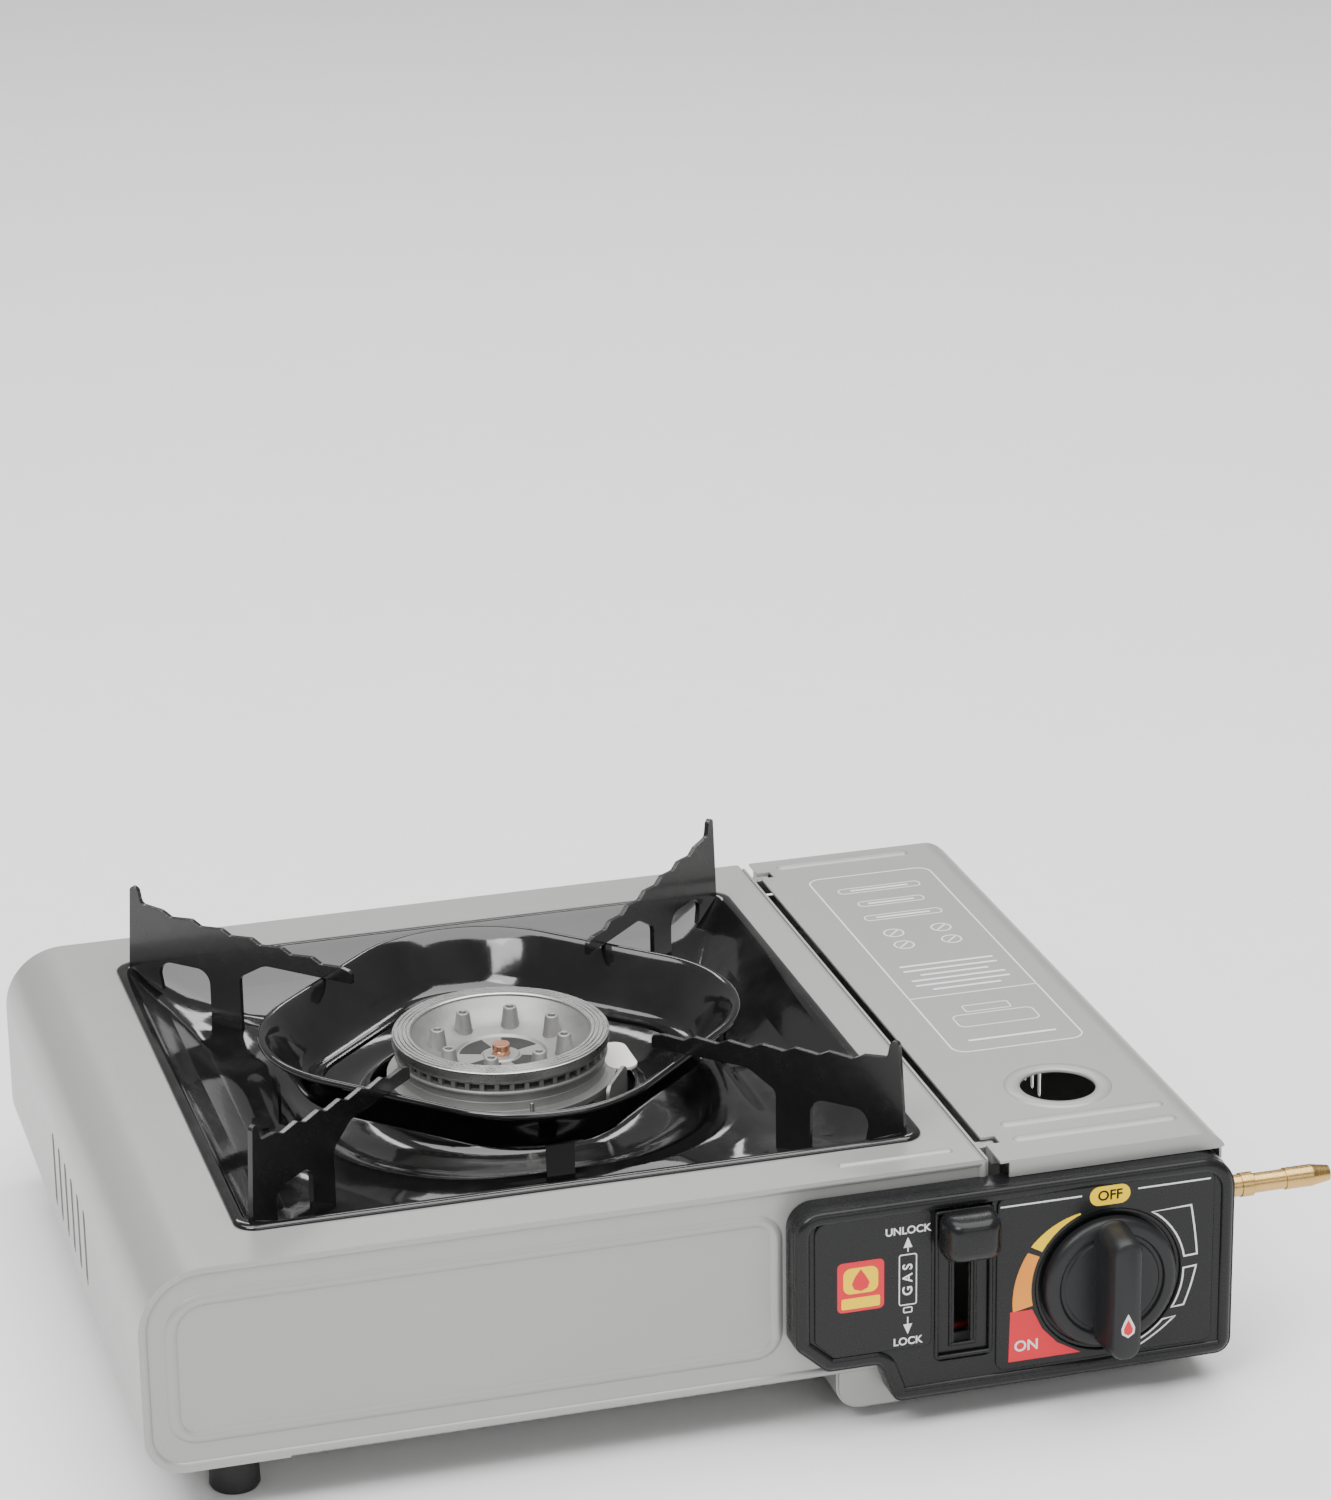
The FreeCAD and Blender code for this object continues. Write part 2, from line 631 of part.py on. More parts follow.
def ring_tabs():
    """Four straps from the ring's foot to the tray's floor."""
    low = CASE_TOP + RING_LIFT - RING_H
    reach = RING_HALF * math.sqrt(2) - RING_CORNER * (math.sqrt(2) - 1) - RING_T
    pieces = []
    for i in range(4):
        strap = box(reach - 1, reach, -4.5, 4.5, TRAY_FLOOR, low)
        foot = box(reach, reach + 7, -4.5, 4.5, TRAY_FLOOR, TRAY_FLOOR + 1)
        piece = fuse_all([strap, foot])
        piece.rotate(Vec(0, 0, 0), Vec(0, 0, 1), 90 * i)
        piece.translate(Vec(CENTRE_X, CENTRE_Y, 0))
        pieces.append(piece)
    return Part.makeCompound(pieces)


def support(angle):
    """Pan support plate on one diagonal, drawn outwards along +X."""
    tip = (TRAY / 2 - TRAY_RIM) * math.sqrt(2) - HORN_INSET
    rim_in = (TRAY / 2 - TRAY_RIM - CLEAR - SHEET) * math.sqrt(2) - TRAY_R * (math.sqrt(2) - 1)
    seat = CASE_TOP + RING_LIFT
    inner = RING_HALF - SUPPORT_IN
    leg = rim_in - TRAY_SLOPE * math.sqrt(2) - 9
    slope = TRAY_DEPTH / (TRAY_SLOPE * math.sqrt(2))
    shoulder = tip - 5
    step = (shoulder - inner) / TEETH
    outline = [(inner, seat, 0), (leg - 16, seat, 8), (leg - 6, seat - 6, 3), (leg - 6, TRAY_FLOOR, 0)]
    outline += [(leg + 6, TRAY_FLOOR, 0), (leg + 6, seat - 6, 5), (rim_in - 10, seat - 6, 5)]
    outline += [(rim_in - 12, TRAY_TOP - 12 * slope + 1.6, 0), (rim_in - 0.2, TRAY_TOP, 0), (tip + 1, TRAY_TOP, 0)]
    outline += [(tip - 1, SUPPORT_TIP, 1.5), (tip - 4, SUPPORT_TIP - 2, 1.5), (shoulder, SUPPORT_SEAT + SUPPORT_RISE, 2)]
    for i in range(TEETH - 1, 0, -1):
        s = inner + step * i
        height = SUPPORT_SEAT + SUPPORT_RISE * i / TEETH
        outline.append((s + step * 0.3, height + 0.3, 1))
        outline.append((s, height - 1.6, 1.5))
    outline += [(inner + 4, SUPPORT_SEAT, 1.5), (inner, SUPPORT_SEAT - 1, 1.5)]
    plate = slab_y(outline, -SUPPORT_T / 2, SUPPORT_T / 2)
    plate.rotate(Vec(0, 0, 0), Vec(0, 0, 1), angle)
    plate.translate(Vec(CENTRE_X, CENTRE_Y, 0))
    return plate


# ---------------------------------------------------------------- burner
def burner_body():
    """Cast bowl and flange, with a socket for the mixing tube."""
    low = TUBE_Z - TUBE_R - 3
    seat = BURNER_TOP - HEAD_H
    wall = 2.5
    outer = [(0, low), (BOWL_R, low), (BOWL_R, TUBE_Z + TUBE_R + 2), (BURNER_R - 2, seat - 7)]
    outer += [(BURNER_FLANGE_R, seat - 5), (BURNER_FLANGE_R, seat - 3), (BURNER_R - 1.5, seat - 3)]
    outer += [(BURNER_R - 1.5, seat), (BURNER_R - 4, seat), (BURNER_R - 4 - wall, seat - 7)]
    outer += [(BOWL_R - wall, TUBE_Z + TUBE_R + 2), (BOWL_R - wall, low + wall), (0, low + wall)]
    body = revolve_z(outer, CENTRE_X, CENTRE_Y)
    post = rod((CENTRE_X, CENTRE_Y, low), (0, 0, 1), 5, seat - 2 - low)
    socket = along_tube(rod((BOWL_R - 8, 0, TUBE_Z), (1, 0, 0), TUBE_R, 30))
    return fuse_all([body, post]).cut(socket)


def burner_head():
    """Cap with a dished middle, hollow posts and a row of flame slots."""
    seat = BURNER_TOP - HEAD_H
    dish = seat + 4
    profile = [(0, seat), (BURNER_R - 1, seat), (BURNER_R - 1, BURNER_TOP - 4), (BURNER_R, BURNER_TOP - 3)]
    profile += [(BURNER_R, BURNER_TOP), (BURNER_R - 6, BURNER_TOP), (BURNER_R - 10, dish), (0, dish)]
    cap = revolve_z(profile, CENTRE_X, CENTRE_Y)
    posts = []
    bores = []
    for i in range(POSTS):
        angle = 2 * math.pi * (i + 0.5) / POSTS
        x = CENTRE_X + 20.5 * math.cos(angle)
        y = CENTRE_Y + 20.5 * math.sin(angle)
        posts.append(Part.makeCone(3.2, 1.9, BURNER_TOP - 1 - dish, Vec(x, y, dish), Vec(0, 0, 1)))
        bores.append(rod((x, y, seat - 1), (0, 0, 1), 1.0, HEAD_H + 2))
    cap = fuse_all([cap] + posts)
    slots = []
    for i in range(FLAME_SLOTS):
        slot = box(BURNER_R - 5, BURNER_R + 2, -0.8, 0.8, seat - 1, seat + 3.5)
        slot.rotate(Vec(0, 0, 0), Vec(0, 0, 1), 360.0 * i / FLAME_SLOTS)
        slot.translate(Vec(CENTRE_X, CENTRE_Y, 0))
        slots.append(slot)
    windows = []
    for i in range(2):
        wedge = box(6.5, 15, -7, 7, seat - 1, dish + 1)
        wedge.rotate(Vec(0, 0, 0), Vec(0, 0, 1), 180 * i + 20)
        wedge.translate(Vec(CENTRE_X, CENTRE_Y, 0))
        windows.append(wedge)
    screw = rod((CENTRE_X, CENTRE_Y, seat - 3), (0, 0, 1), SCREW_R, HEAD_H)
    cap = cap.cut(Part.makeCompound(slots))
    return cut_all(cap, bores + windows + [screw])


def burner_screw():
    """Screw that holds the cap to the bowl's post."""
    seat = BURNER_TOP - HEAD_H
    shank = rod((CENTRE_X, CENTRE_Y, seat - 2), (0, 0, 1), SCREW_R, 6)
    head = rod((CENTRE_X, CENTRE_Y, seat + 4), (0, 0, 1), SCREW_HEAD_R, SCREW_HEAD)
    return fuse_all([shank, head])


def mixing_tube():
    """Straight tube from the jet to the burner bowl."""
    start = BOWL_R - 8
    length = TUBE_LEN - 15 - start
    return along_tube(tube((start, 0, TUBE_Z), (1, 0, 0), TUBE_R, TUBE_R - TUBE_WALL, length))


def jet_nozzle():
    """Brass jet between the regulator and the mixing tube's mouth."""
    jet = along_tube(rod((TUBE_LEN - 11, 0, TUBE_Z), (1, 0, 0), 3.2, 16))
    hole = along_tube(rod((TUBE_LEN - 12, 0, TUBE_Z), (1, 0, 0), 0.6, 8))
    return jet.cut(box(REG_X0, REG_X0 + 20, 0, 100, 0, 100)).cut(hole)


def heat_strip():
    """Aluminium strip that carries burner heat to the cartridge."""
    low = TUBE_Z - TUBE_R - 3
    near = BURNER_FLANGE_R + 1
    far = DIVIDER_S + 8
    tongue = slab_x(square(-10, 10, low, BURNER_TOP - 12, 3), near, near + STRIP_T)
    tongue = tongue.cut(rod((0, 0, TUBE_Z), (1, 0, 0), TUBE_R, 80))
    run = box(near, far, -10, 10, low, low + STRIP_T)
    end = box(far - STRIP_T, far, -10, 10, low, low + 16)
    end = end.cut(rod((0, 0, TUBE_Z), (1, 0, 0), TUBE_R + 1, 200))
    return along_tube(fuse_all([tongue, run, end]))


def electrode_place():
    """(x, y) of the spark electrode, in front of the burner."""
    return CENTRE_X, CENTRE_Y - BURNER_FLANGE_R - ELECTRODE_R - 0.3


def electrode_bracket():
    """Strap from the bowl that holds the electrode."""
    x, y = electrode_place()
    z = TUBE_Z + TUBE_R - 2
    strap = box(x - 4, x + 4, y - 4, CENTRE_Y, z, z + 1.2)
    bowl = rod((CENTRE_X, CENTRE_Y, z - 1), (0, 0, 1), BOWL_R, 5)
    hole = rod((x, y, z - 1), (0, 0, 1), ELECTRODE_R, 5)
    return strap.cut(bowl).cut(hole)


def electrode_ceramic():
    """White insulator."""
    x, y = electrode_place()
    seat = BURNER_TOP - HEAD_H
    body = rod((x, y, TUBE_Z + 3), (0, 0, 1), ELECTRODE_R, seat - 4 - TUBE_Z - 3)
    return body.cut(rod((x, y, TUBE_Z), (0, 0, 1), 0.7, 40))


def electrode_wire():
    """Spark wire through the insulator."""
    x, y = electrode_place()
    seat = BURNER_TOP - HEAD_H
    return rod((x, y, TUBE_Z + 3), (0, 0, 1), 0.7, seat + 2 - TUBE_Z - 3)


def ignition_lead():
    """Insulated wire from the piezo igniter to the electrode."""
    x, y = electrode_place()
    left = LEVER_X - 16
    points = [
        Vec(x, y, TUBE_Z + 3), Vec(x, y, LEAD_Z), Vec(left, 7, LEAD_Z), Vec(DIVIDER_X + 15, 7, LEAD_Z),
        Vec(DIVIDER_X + 22, 7, PIEZO_Z0 + 6), Vec(KNOB_X - PIEZO_HALF, 7, PIEZO_Z0 + 6),
    ]
    return piped(points, LEAD_BEND, LEAD_R)


# ---------------------------------------------------------------- gas parts
def regulator_body():
    """Cast valve and pressure regulator with the cartridge seat at its back."""
    block = slab_y(square(REG_X0, REG_X1, REG_Z0, REG_Z1, 4), REG_Y0, REG_Y1)
    drum = rod((KNOB_X, REG_Y0 + 18, REG_Z1 - 1), (0, 0, 1), 11, 6)
    seat = rod((KNOB_X, REG_Y1 - 1, KNOB_Z), (0, 1, 0), 10, 7)
    boss = box(REG_X1 - 8, REG_X1, NOZZLE_Y - 7, REG_Y0 + 4, NOZZLE_Z - 7, NOZZLE_Z + 6)
    body = fuse_all([block, drum, seat, boss])
    spindle = rod((KNOB_X, REG_Y0 - 1, KNOB_Z), (0, 1, 0), SPINDLE_R + RUN, 15)
    port = rod((KNOB_X, REG_Y1 - 2, KNOB_Z), (0, 1, 0), 3, 10)
    gallery = rod((REG_X1 - 4, NOZZLE_Y, NOZZLE_Z), (1, 0, 0), 1.6, 10)
    return cut_all(body, [spindle, port, gallery])


def hose_nozzle():
    """Brass nozzle for a gas hose, with a ridge and a tapered tip."""
    root = REG_X1
    ridge = CASE_W + 11
    tip = NOZZLE_TIP
    thin = NOZZLE_R - 0.35
    hole = 1.6
    profile = [(root, hole), (root, NOZZLE_R + 2), (root + 5, NOZZLE_R + 2), (root + 5, NOZZLE_R)]
    profile += [(ridge, NOZZLE_R), (ridge, NOZZLE_R + 0.35), (ridge + 4, NOZZLE_R + 0.35), (ridge + 4, thin)]
    profile += [(tip - 15, thin), (tip - 15, NOZZLE_R), (tip - 6, NOZZLE_R), (tip, NOZZLE_R - 1)]
    profile += [(tip, hole)]
    return revolve_x(profile, NOZZLE_Y, NOZZLE_Z)


def collar_guide():
    """Notched plate that locates the cartridge's collar."""
    plate = box(KNOB_X - 22, KNOB_X + 22, REG_Y1 + 10, REG_Y1 + 11.5, PAN_FLOOR, KNOB_Z)
    return plate.cut(rod((KNOB_X, REG_Y1, KNOB_Z), (0, 1, 0), 17, 30))


# ---------------------------------------------------------------- controls
def control_panel():
    """Moulded panel in front of the casing, hollow behind."""
    outline = control_outline()
    shell = slab_y(outline, PANEL_FACE, PANEL_Y0)
    shell = shell.cut(slab_y(inset(outline, PANEL_WALL), PANEL_FACE + PANEL_WALL, PANEL_Y0 + 1))
    shell = shell.cut(slab_y(square(LEVER_X - 9, LEVER_X + 9, PANEL_STEP - 2, PANEL_TOP - 2, 2),
                             PANEL_FACE - 1, PANEL_FACE + 1))
    shell = shell.cut(rod((KNOB_X, PANEL_FACE - 1, KNOB_Z), (0, 1, 0), KNOB_R + 1, 1.8))
    bosses = []
    holes = []
    for x, z in panel_screw_places():
        bosses.append(rod((x, PANEL_FACE + 1.5, z), (0, 1, 0), 3.6, PANEL_Y0 - PANEL_FACE - 1.5))
        holes.append(rod((x, PANEL_FACE + PANEL_WALL, z), (0, 1, 0), SCREW_R, 12))
    shell = fuse_all([shell] + bosses)
    slot = box(LEVER_X - LEVER_T / 2 - 1.2, LEVER_X + LEVER_T / 2 + 1.2, PANEL_FACE - 2, PANEL_FACE + 4,
               LEVER_Z - 25, PANEL_TOP - 4)
    shaft = rod((KNOB_X, PANEL_FACE - 2, KNOB_Z), (0, 1, 0), SPINDLE_R + 4, 8)
    return cut_all(shell, holes + [slot, shaft])


def knob():
    """Round knob with a grip bar across it."""
    disc = rod((KNOB_X, KNOB_FACE, KNOB_Z), (0, 1, 0), KNOB_R, KNOB_DISC)
    bar = box(KNOB_X - KNOB_GRIP_W / 2, KNOB_X + KNOB_GRIP_W / 2, KNOB_FRONT, KNOB_FACE,
              KNOB_Z - KNOB_R, KNOB_Z + KNOB_R)
    bar = bar.common(rod((KNOB_X, KNOB_FRONT, KNOB_Z), (0, 1, 0), KNOB_R - 0.6, KNOB_GRIP))
    hub = rod((KNOB_X, KNOB_BACK, KNOB_Z), (0, 1, 0), SPINDLE_R + 2.8, 4)
    bore = rod((KNOB_X, KNOB_FACE, KNOB_Z), (0, 1, 0), SPINDLE_R, 20)
    return fuse_all([disc, bar, hub]).cut(bore)


def valve_spindle():
    """Shaft from the knob into the valve."""
    return rod((KNOB_X, KNOB_FACE, KNOB_Z), (0, 1, 0), SPINDLE_R, REG_Y0 + 13 - KNOB_FACE)


def ignition_cam():
    """Cam on the shaft that trips the igniter at the end of the knob's turn."""
    angle = math.radians(CAM_START)
    lobe_x = KNOB_X + 9 * math.cos(angle)
    lobe_z = KNOB_Z + 9 * math.sin(angle)
    y0 = PANEL_Y1 + 1.2
    disc = rod((KNOB_X, y0, KNOB_Z), (0, 1, 0), CAM_R, 5)
    lobe = rod((lobe_x, y0, lobe_z), (0, 1, 0), CAM_LOBE_R, 5)
    return fuse_all([disc, lobe]).cut(rod((KNOB_X, 0, KNOB_Z), (0, 1, 0), SPINDLE_R, 20))


def piezo_body():
    """Igniter block below the shaft, standing on the compartment's floor."""
    y0 = PANEL_Y1
    body = box(KNOB_X - PIEZO_HALF, KNOB_X + PIEZO_HALF, y0, y0 + 9, PAN_FLOOR, PIEZO_Z0 + PIEZO_H)
    return body.cut(rod((KNOB_X, y0 + 4, PIEZO_Z0 + 4), (0, 0, 1), PIEZO_R + RUN, 30))


def piezo_plunger():
    """Sprung plunger of the igniter."""
    low = PIEZO_Z0 + 8
    return rod((KNOB_X, PANEL_Y1 + 4, low), (0, 0, 1), PIEZO_R, KNOB_Z - CAM_R - 0.6 - low)


def tilt_lever(shape):
    """Turn a piece drawn level to the lever's rest place, front end up."""
    shape.rotate(Vec(LEVER_X, LEVER_Y, LEVER_Z), Vec(1, 0, 0), -LEVER_SWING)
    return shape


def lever_arm():
    """Steel lever on its pivot, with the crank pin that drives the pusher."""
    x0 = LEVER_X - LEVER_T / 2
    x1 = LEVER_X + LEVER_T / 2
    front = LEVER_Y - LEVER_REACH - 12
    bar = box(x0, x1, front, LEVER_Y, LEVER_Z - 3, LEVER_Z + 3)
    boss = rod((x0, LEVER_Y, LEVER_Z), (1, 0, 0), 5, LEVER_T)
    crank = box(x0, x1, LEVER_Y - 2.5, LEVER_Y + 2.5, LEVER_Z, LEVER_Z + LEVER_CRANK + 2.5)
    pin = rod((x1 - 0.5, LEVER_Y, LEVER_Z + LEVER_CRANK), (1, 0, 0), DRIVE_R, BAR_X0 + BAR_T - x1 + 0.5)
    arm = fuse_all([bar, boss, crank])
    arm = tilt_lever(arm.cut(rod((x0 - 1, LEVER_Y, LEVER_Z), (1, 0, 0), PIN_R + RUN, LEVER_T + 2)))
    return fuse_all([arm, tilt_lever(pin)])


def lever_grip():
    """Finger grip on the lever's front end."""
    front = LEVER_Y - LEVER_REACH - 16
    back = PANEL_FACE - 1.4
    x0 = LEVER_X - GRIP_W / 2
    arm_drop = (LEVER_REACH + 6) * math.sin(math.radians(LEVER_SWING))
    middle = LEVER_Z + arm_drop
    low = middle - GRIP_H / 2
    high = middle + GRIP_H / 2
    undercut = GRIP_H * math.tan(math.radians(LEVER_SWING))
    outline = [(front, low, 2.5), (back - undercut, low, 1), (back, high, 1), (front, high, 2.5)]
    body = slab_x(outline, x0, x0 + GRIP_W)
    return body.cut(lever_arm())


def lever_bracket():
    """Plate behind the front panel that carries the pivot pin."""
    x0 = LEVER_X - LEVER_T / 2 - 4
    plate = slab_x(square(PANEL_Y1, LEVER_Y + 7, LEVER_Z - 6, LEVER_Z + 8, 2), x0 - 1.2, x0)
    flange = box(x0 - 10, x0 - 1.2, PANEL_Y1, PANEL_Y1 + 1.2, LEVER_Z - 6, LEVER_Z + 8)
    return fuse_all([plate, flange])


def lever_pivot_pin():
    """Pin from the bracket to the divider wall."""
    x0 = LEVER_X - LEVER_T / 2 - 4
    return rod((x0, LEVER_Y, LEVER_Z), (1, 0, 0), PIN_R, DIVIDER_X - x0)


def pusher_slide():
    """Bar that pushes the cartridge forward onto its seat, with a slotted lug."""
    swing = math.radians(LEVER_SWING)
    pin_y = LEVER_Y + LEVER_CRANK * math.sin(swing)
    pin_z0 = LEVER_Z + LEVER_CRANK * math.cos(swing) - DRIVE_R - CLEAR
    pin_z1 = LEVER_Z + LEVER_CRANK + DRIVE_R + CLEAR
    x1 = BAR_X0 + BAR_T
    bar = box(BAR_X0, x1, pin_y - 8, BAR_BACK + 3, BAR_Z0, BAR_Z1)
    lug = box(BAR_X0, x1, pin_y - 8, pin_y + 8, BAR_Z0 - 1, BAR_Z1 + 5)
    arm = box(BAR_X0, KNOB_X - 22, BAR_BACK, BAR_BACK + 3, BAR_Z0 - 1, BAR_Z1 - 3)
    plate = box(DIVIDER_X + 4, KNOB_X - 10, BAR_BACK, BAR_BACK + 3, BAR_Z0 - 7, BAR_Z1 - 3)
    slot = box(BAR_X0 - 1, x1 + 1, pin_y - DRIVE_R - 0.35, pin_y + DRIVE_R + 0.35, pin_z0, pin_z1)
    return fuse_all([bar, lug, arm, plate]).cut(slot)


def pusher_guides():
    """Two brackets on the divider wall round the pusher bar."""
    pieces = []
    gap = 0.35
    for y in (CASE_D * 0.38, CASE_D * 0.72):
        outer = box(BAR_X0 - gap - 1.2, DIVIDER_X - SHEET, y, y + 8, BAR_Z0 - gap - 1.2, BAR_Z1 + gap + 1.2)
        inner = box(BAR_X0 - gap, BAR_X0 + BAR_T + gap, y - 1, y + 9, BAR_Z0 - gap, BAR_Z1 + gap)
        pieces.append(outer.cut(inner))
    return Part.makeCompound(pieces)


# ---------------------------------------------------------------- feet, screws
def foot(x, y, height):
    """Rubber foot with a slightly flared base."""
    cone = Part.makeCone(FOOT_R, FOOT_R - 0.6, height - 1, Vec(x, y, 1), Vec(0, 0, 1))
    base = Part.makeCone(FOOT_R - 0.6, FOOT_R, 1, Vec(x, y, 0), Vec(0, 0, 1))
    return fuse_all([base, cone])


def feet(x, height):
    """Front and back foot at one x."""
    return Part.makeCompound([foot(x, y, height) for y in (FOOT_INSET, CASE_D - FOOT_INSET)])


def base_screws():
    """Screws that hold the base pan."""
    screws = []
    for x, y in base_screw_places():
        head = rod((x, y, WRAP_BOTTOM - SCREW_HEAD), (0, 0, 1), SCREW_HEAD_R, SCREW_HEAD)
        shank = rod((x, y, WRAP_BOTTOM - SCREW_HEAD), (0, 0, 1), SCREW_R, SCREW_HEAD + 2 * SHEET + 1.4)
        screws.append(fuse_all([head, shank]))
    return Part.makeCompound(screws)


def panel_screws():
    """Screws through the front panel into the control panel's bosses."""
    screws = []
    for x, z in panel_screw_places():
        head = rod((x, PANEL_Y1, z), (0, 1, 0), SCREW_HEAD_R, SCREW_HEAD)
        start = PANEL_FACE + PANEL_WALL + 1
        shank = rod((x, start, z), (0, 1, 0), SCREW_R, PANEL_Y1 + 1 - start)
        screws.append(fuse_all([head, shank]))
    return Part.makeCompound(screws)


# ---------------------------------------------------------------- export
PIECES = {
    "top_casing": top_casing, "front_panel": front_panel, "rear_panel": rear_panel,
    "base_pan": base_pan, "compartment_pan": compartment_pan, "divider_wall": divider_wall,
    "lid": lid, "lid_hinge_pins": lid_hinge_pins,
    "drip_tray": drip_tray, "wind_ring": wind_ring, "ring_tabs": ring_tabs,
    "support_back_right": lambda: support(45), "support_back_left": lambda: support(135),
    "support_front_left": lambda: support(225), "support_front_right": lambda: support(315),
    "burner_body": burner_body, "burner_head": burner_head, "burner_screw": burner_screw,
    "mixing_tube": mixing_tube, "jet_nozzle": jet_nozzle, "heat_strip": heat_strip,
    "electrode_bracket": electrode_bracket, "electrode_ceramic": electrode_ceramic,
    "electrode_wire": electrode_wire, "ignition_lead": ignition_lead,
    "regulator_body": regulator_body, "hose_nozzle": hose_nozzle, "collar_guide": collar_guide,
    "control_panel": control_panel, "knob": knob, "valve_spindle": valve_spindle,
    "ignition_cam": ignition_cam, "piezo_body": piezo_body, "piezo_plunger": piezo_plunger,
    "lever_arm": lever_arm, "lever_grip": lever_grip, "lever_bracket": lever_bracket,
    "lever_pivot_pin": lever_pivot_pin, "pusher_slide": pusher_slide, "pusher_guides": pusher_guides,
    "feet_left": lambda: feet(FOOT_X_LEFT, WRAP_BOTTOM), "feet_right": lambda: feet(FOOT_X_RIGHT, PAN_BOTTOM),
    "base_screws": base_screws, "panel_screws": panel_screws,
}

os.makedirs("parts", exist_ok=True)
for name, build in PIECES.items():
    piece = build()
    piece.translate(Vec(-ORIGIN_X, -ORIGIN_Y, 0))
    piece.exportStep("parts/" + name + ".step")
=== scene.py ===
"""Looks of a portable cartridge camping stove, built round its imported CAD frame."""

import logging
import math
from dataclasses import dataclass
from enum import Enum
from typing import Callable, Optional

import bmesh
import bpy
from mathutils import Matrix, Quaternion, Vector

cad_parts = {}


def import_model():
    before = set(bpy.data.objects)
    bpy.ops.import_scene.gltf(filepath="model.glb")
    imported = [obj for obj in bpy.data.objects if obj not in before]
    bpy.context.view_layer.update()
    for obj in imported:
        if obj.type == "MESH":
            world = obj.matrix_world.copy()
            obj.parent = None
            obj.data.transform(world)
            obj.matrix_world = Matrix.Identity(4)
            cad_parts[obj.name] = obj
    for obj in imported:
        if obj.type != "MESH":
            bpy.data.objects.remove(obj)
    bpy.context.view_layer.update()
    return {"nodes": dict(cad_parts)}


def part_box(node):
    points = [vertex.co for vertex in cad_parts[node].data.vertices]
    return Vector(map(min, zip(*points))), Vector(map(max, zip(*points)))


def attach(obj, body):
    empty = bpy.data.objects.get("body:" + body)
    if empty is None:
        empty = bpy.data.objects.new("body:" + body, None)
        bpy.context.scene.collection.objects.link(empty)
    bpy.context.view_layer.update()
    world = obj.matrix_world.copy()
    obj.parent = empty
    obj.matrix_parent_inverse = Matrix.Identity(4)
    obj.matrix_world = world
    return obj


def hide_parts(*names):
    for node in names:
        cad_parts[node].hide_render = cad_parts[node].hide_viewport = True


MM = 0.001
Point2 = tuple[float, float]
Corner = tuple[float, float, float]
Placer = Callable[[float, float], Vector]
FACING = (math.pi / 2, 0.0, 0.0)
READING_UP = (math.pi / 2, -math.pi / 2, 0.0)
log = logging.getLogger("stove")


class Body(str, Enum):
    """Bodies of the frame that pieces ride on."""

    CASING = "casing"
    TRAY = "drip_tray_set"
    LID = "lid"
    KNOB = "knob"
    LEVER = "lock_lever"


# ------------------------------------------------------------------ materials
@dataclass(frozen=True)
class Finish:
    """One surface finish.

    Args:
        name: Material name.
        slot: The record's material slot; not used.
        dark: Darker of the two colours that the surface drifts between.
        light: Lighter of the two.
        rough: Lowest and highest roughness.
        metallic: Metal share.
        coat: Clear coat weight.
        grain: Grain cells per metre.
        relief: Height of the grain in metres.
        edge: Radius in metres that softens sharp edges.
        wear: How far dust and handling lighten the surface, 0 to 1.
        stretch: Scale of the grain on each axis, for brushed or drawn metal.
        specular: Strength of the surface's mirror reflection.
    """

    name: str
    slot: str
    dark: tuple[float, float, float]
    light: tuple[float, float, float]
    rough: tuple[float, float]
    metallic: float = 0.0
    coat: float = 0.0
    grain: float = 2500.0
    relief: float = 0.00001
    edge: float = 0.0
    wear: float = 0.1
    stretch: tuple[float, float, float] = (1.0, 1.0, 1.0)
    specular: float = 0.5


SILVER = Finish("silver_paint", "silver_paint", (0.30, 0.30, 0.293), (0.345, 0.345, 0.337), (0.33, 0.42),
                metallic=0.25, coat=0.25, grain=5200, relief=0.000004, wear=0.08)
ENAMEL = Finish("black_enamel", "black_enamel", (0.003, 0.003, 0.0032), (0.008, 0.008, 0.0085), (0.07, 0.14),
                coat=0.35, grain=220, relief=0.00006, wear=0.12)
ENAMEL_PLATE = Finish("black_enamel_plate", "black_enamel", (0.004, 0.004, 0.0045), (0.014, 0.014, 0.015),
                      (0.18, 0.30), coat=0.3, grain=300, relief=0.00005, edge=0.0005, wear=0.15)
CAST = Finish("cast_aluminium", "cast_aluminium", (0.20, 0.20, 0.195), (0.42, 0.42, 0.41), (0.40, 0.62),
              metallic=0.8, grain=1400, relief=0.00009, edge=0.0004, wear=0.1)
TURNED = Finish("turned_aluminium", "cast_aluminium", (0.46, 0.46, 0.455), (0.60, 0.60, 0.59), (0.24, 0.36),
                  metallic=1.0, grain=2600, relief=0.000004, wear=0.0)
BRASS = Finish("brass", "brass", (0.42, 0.25, 0.09), (0.68, 0.46, 0.17), (0.2, 0.36),
               metallic=1.0, grain=900, relief=0.00001, edge=0.0003, wear=0.2, stretch=(8.0, 1.0, 1.0))
COPPER = Finish("copper", "copper", (0.5, 0.22, 0.12), (0.75, 0.4, 0.26), (0.2, 0.4),
                metallic=1.0, grain=2000, relief=0.00001, edge=0.0004, wear=0.2)
PLASTIC = Finish("black_plastic", "black_plastic", (0.005, 0.0052, 0.0055), (0.012, 0.0122, 0.013),
                 (0.2, 0.32),
                 coat=0.05, grain=3200, relief=0.000006, edge=0.0005, wear=0.05, specular=0.25)
SATIN_PLASTIC = Finish("satin_plastic", "black_plastic", (0.008, 0.0083, 0.009), (0.016, 0.0165, 0.018),
                       (0.32, 0.44), grain=4200, relief=0.000012, edge=0.0005, wear=0.05, specular=0.3)
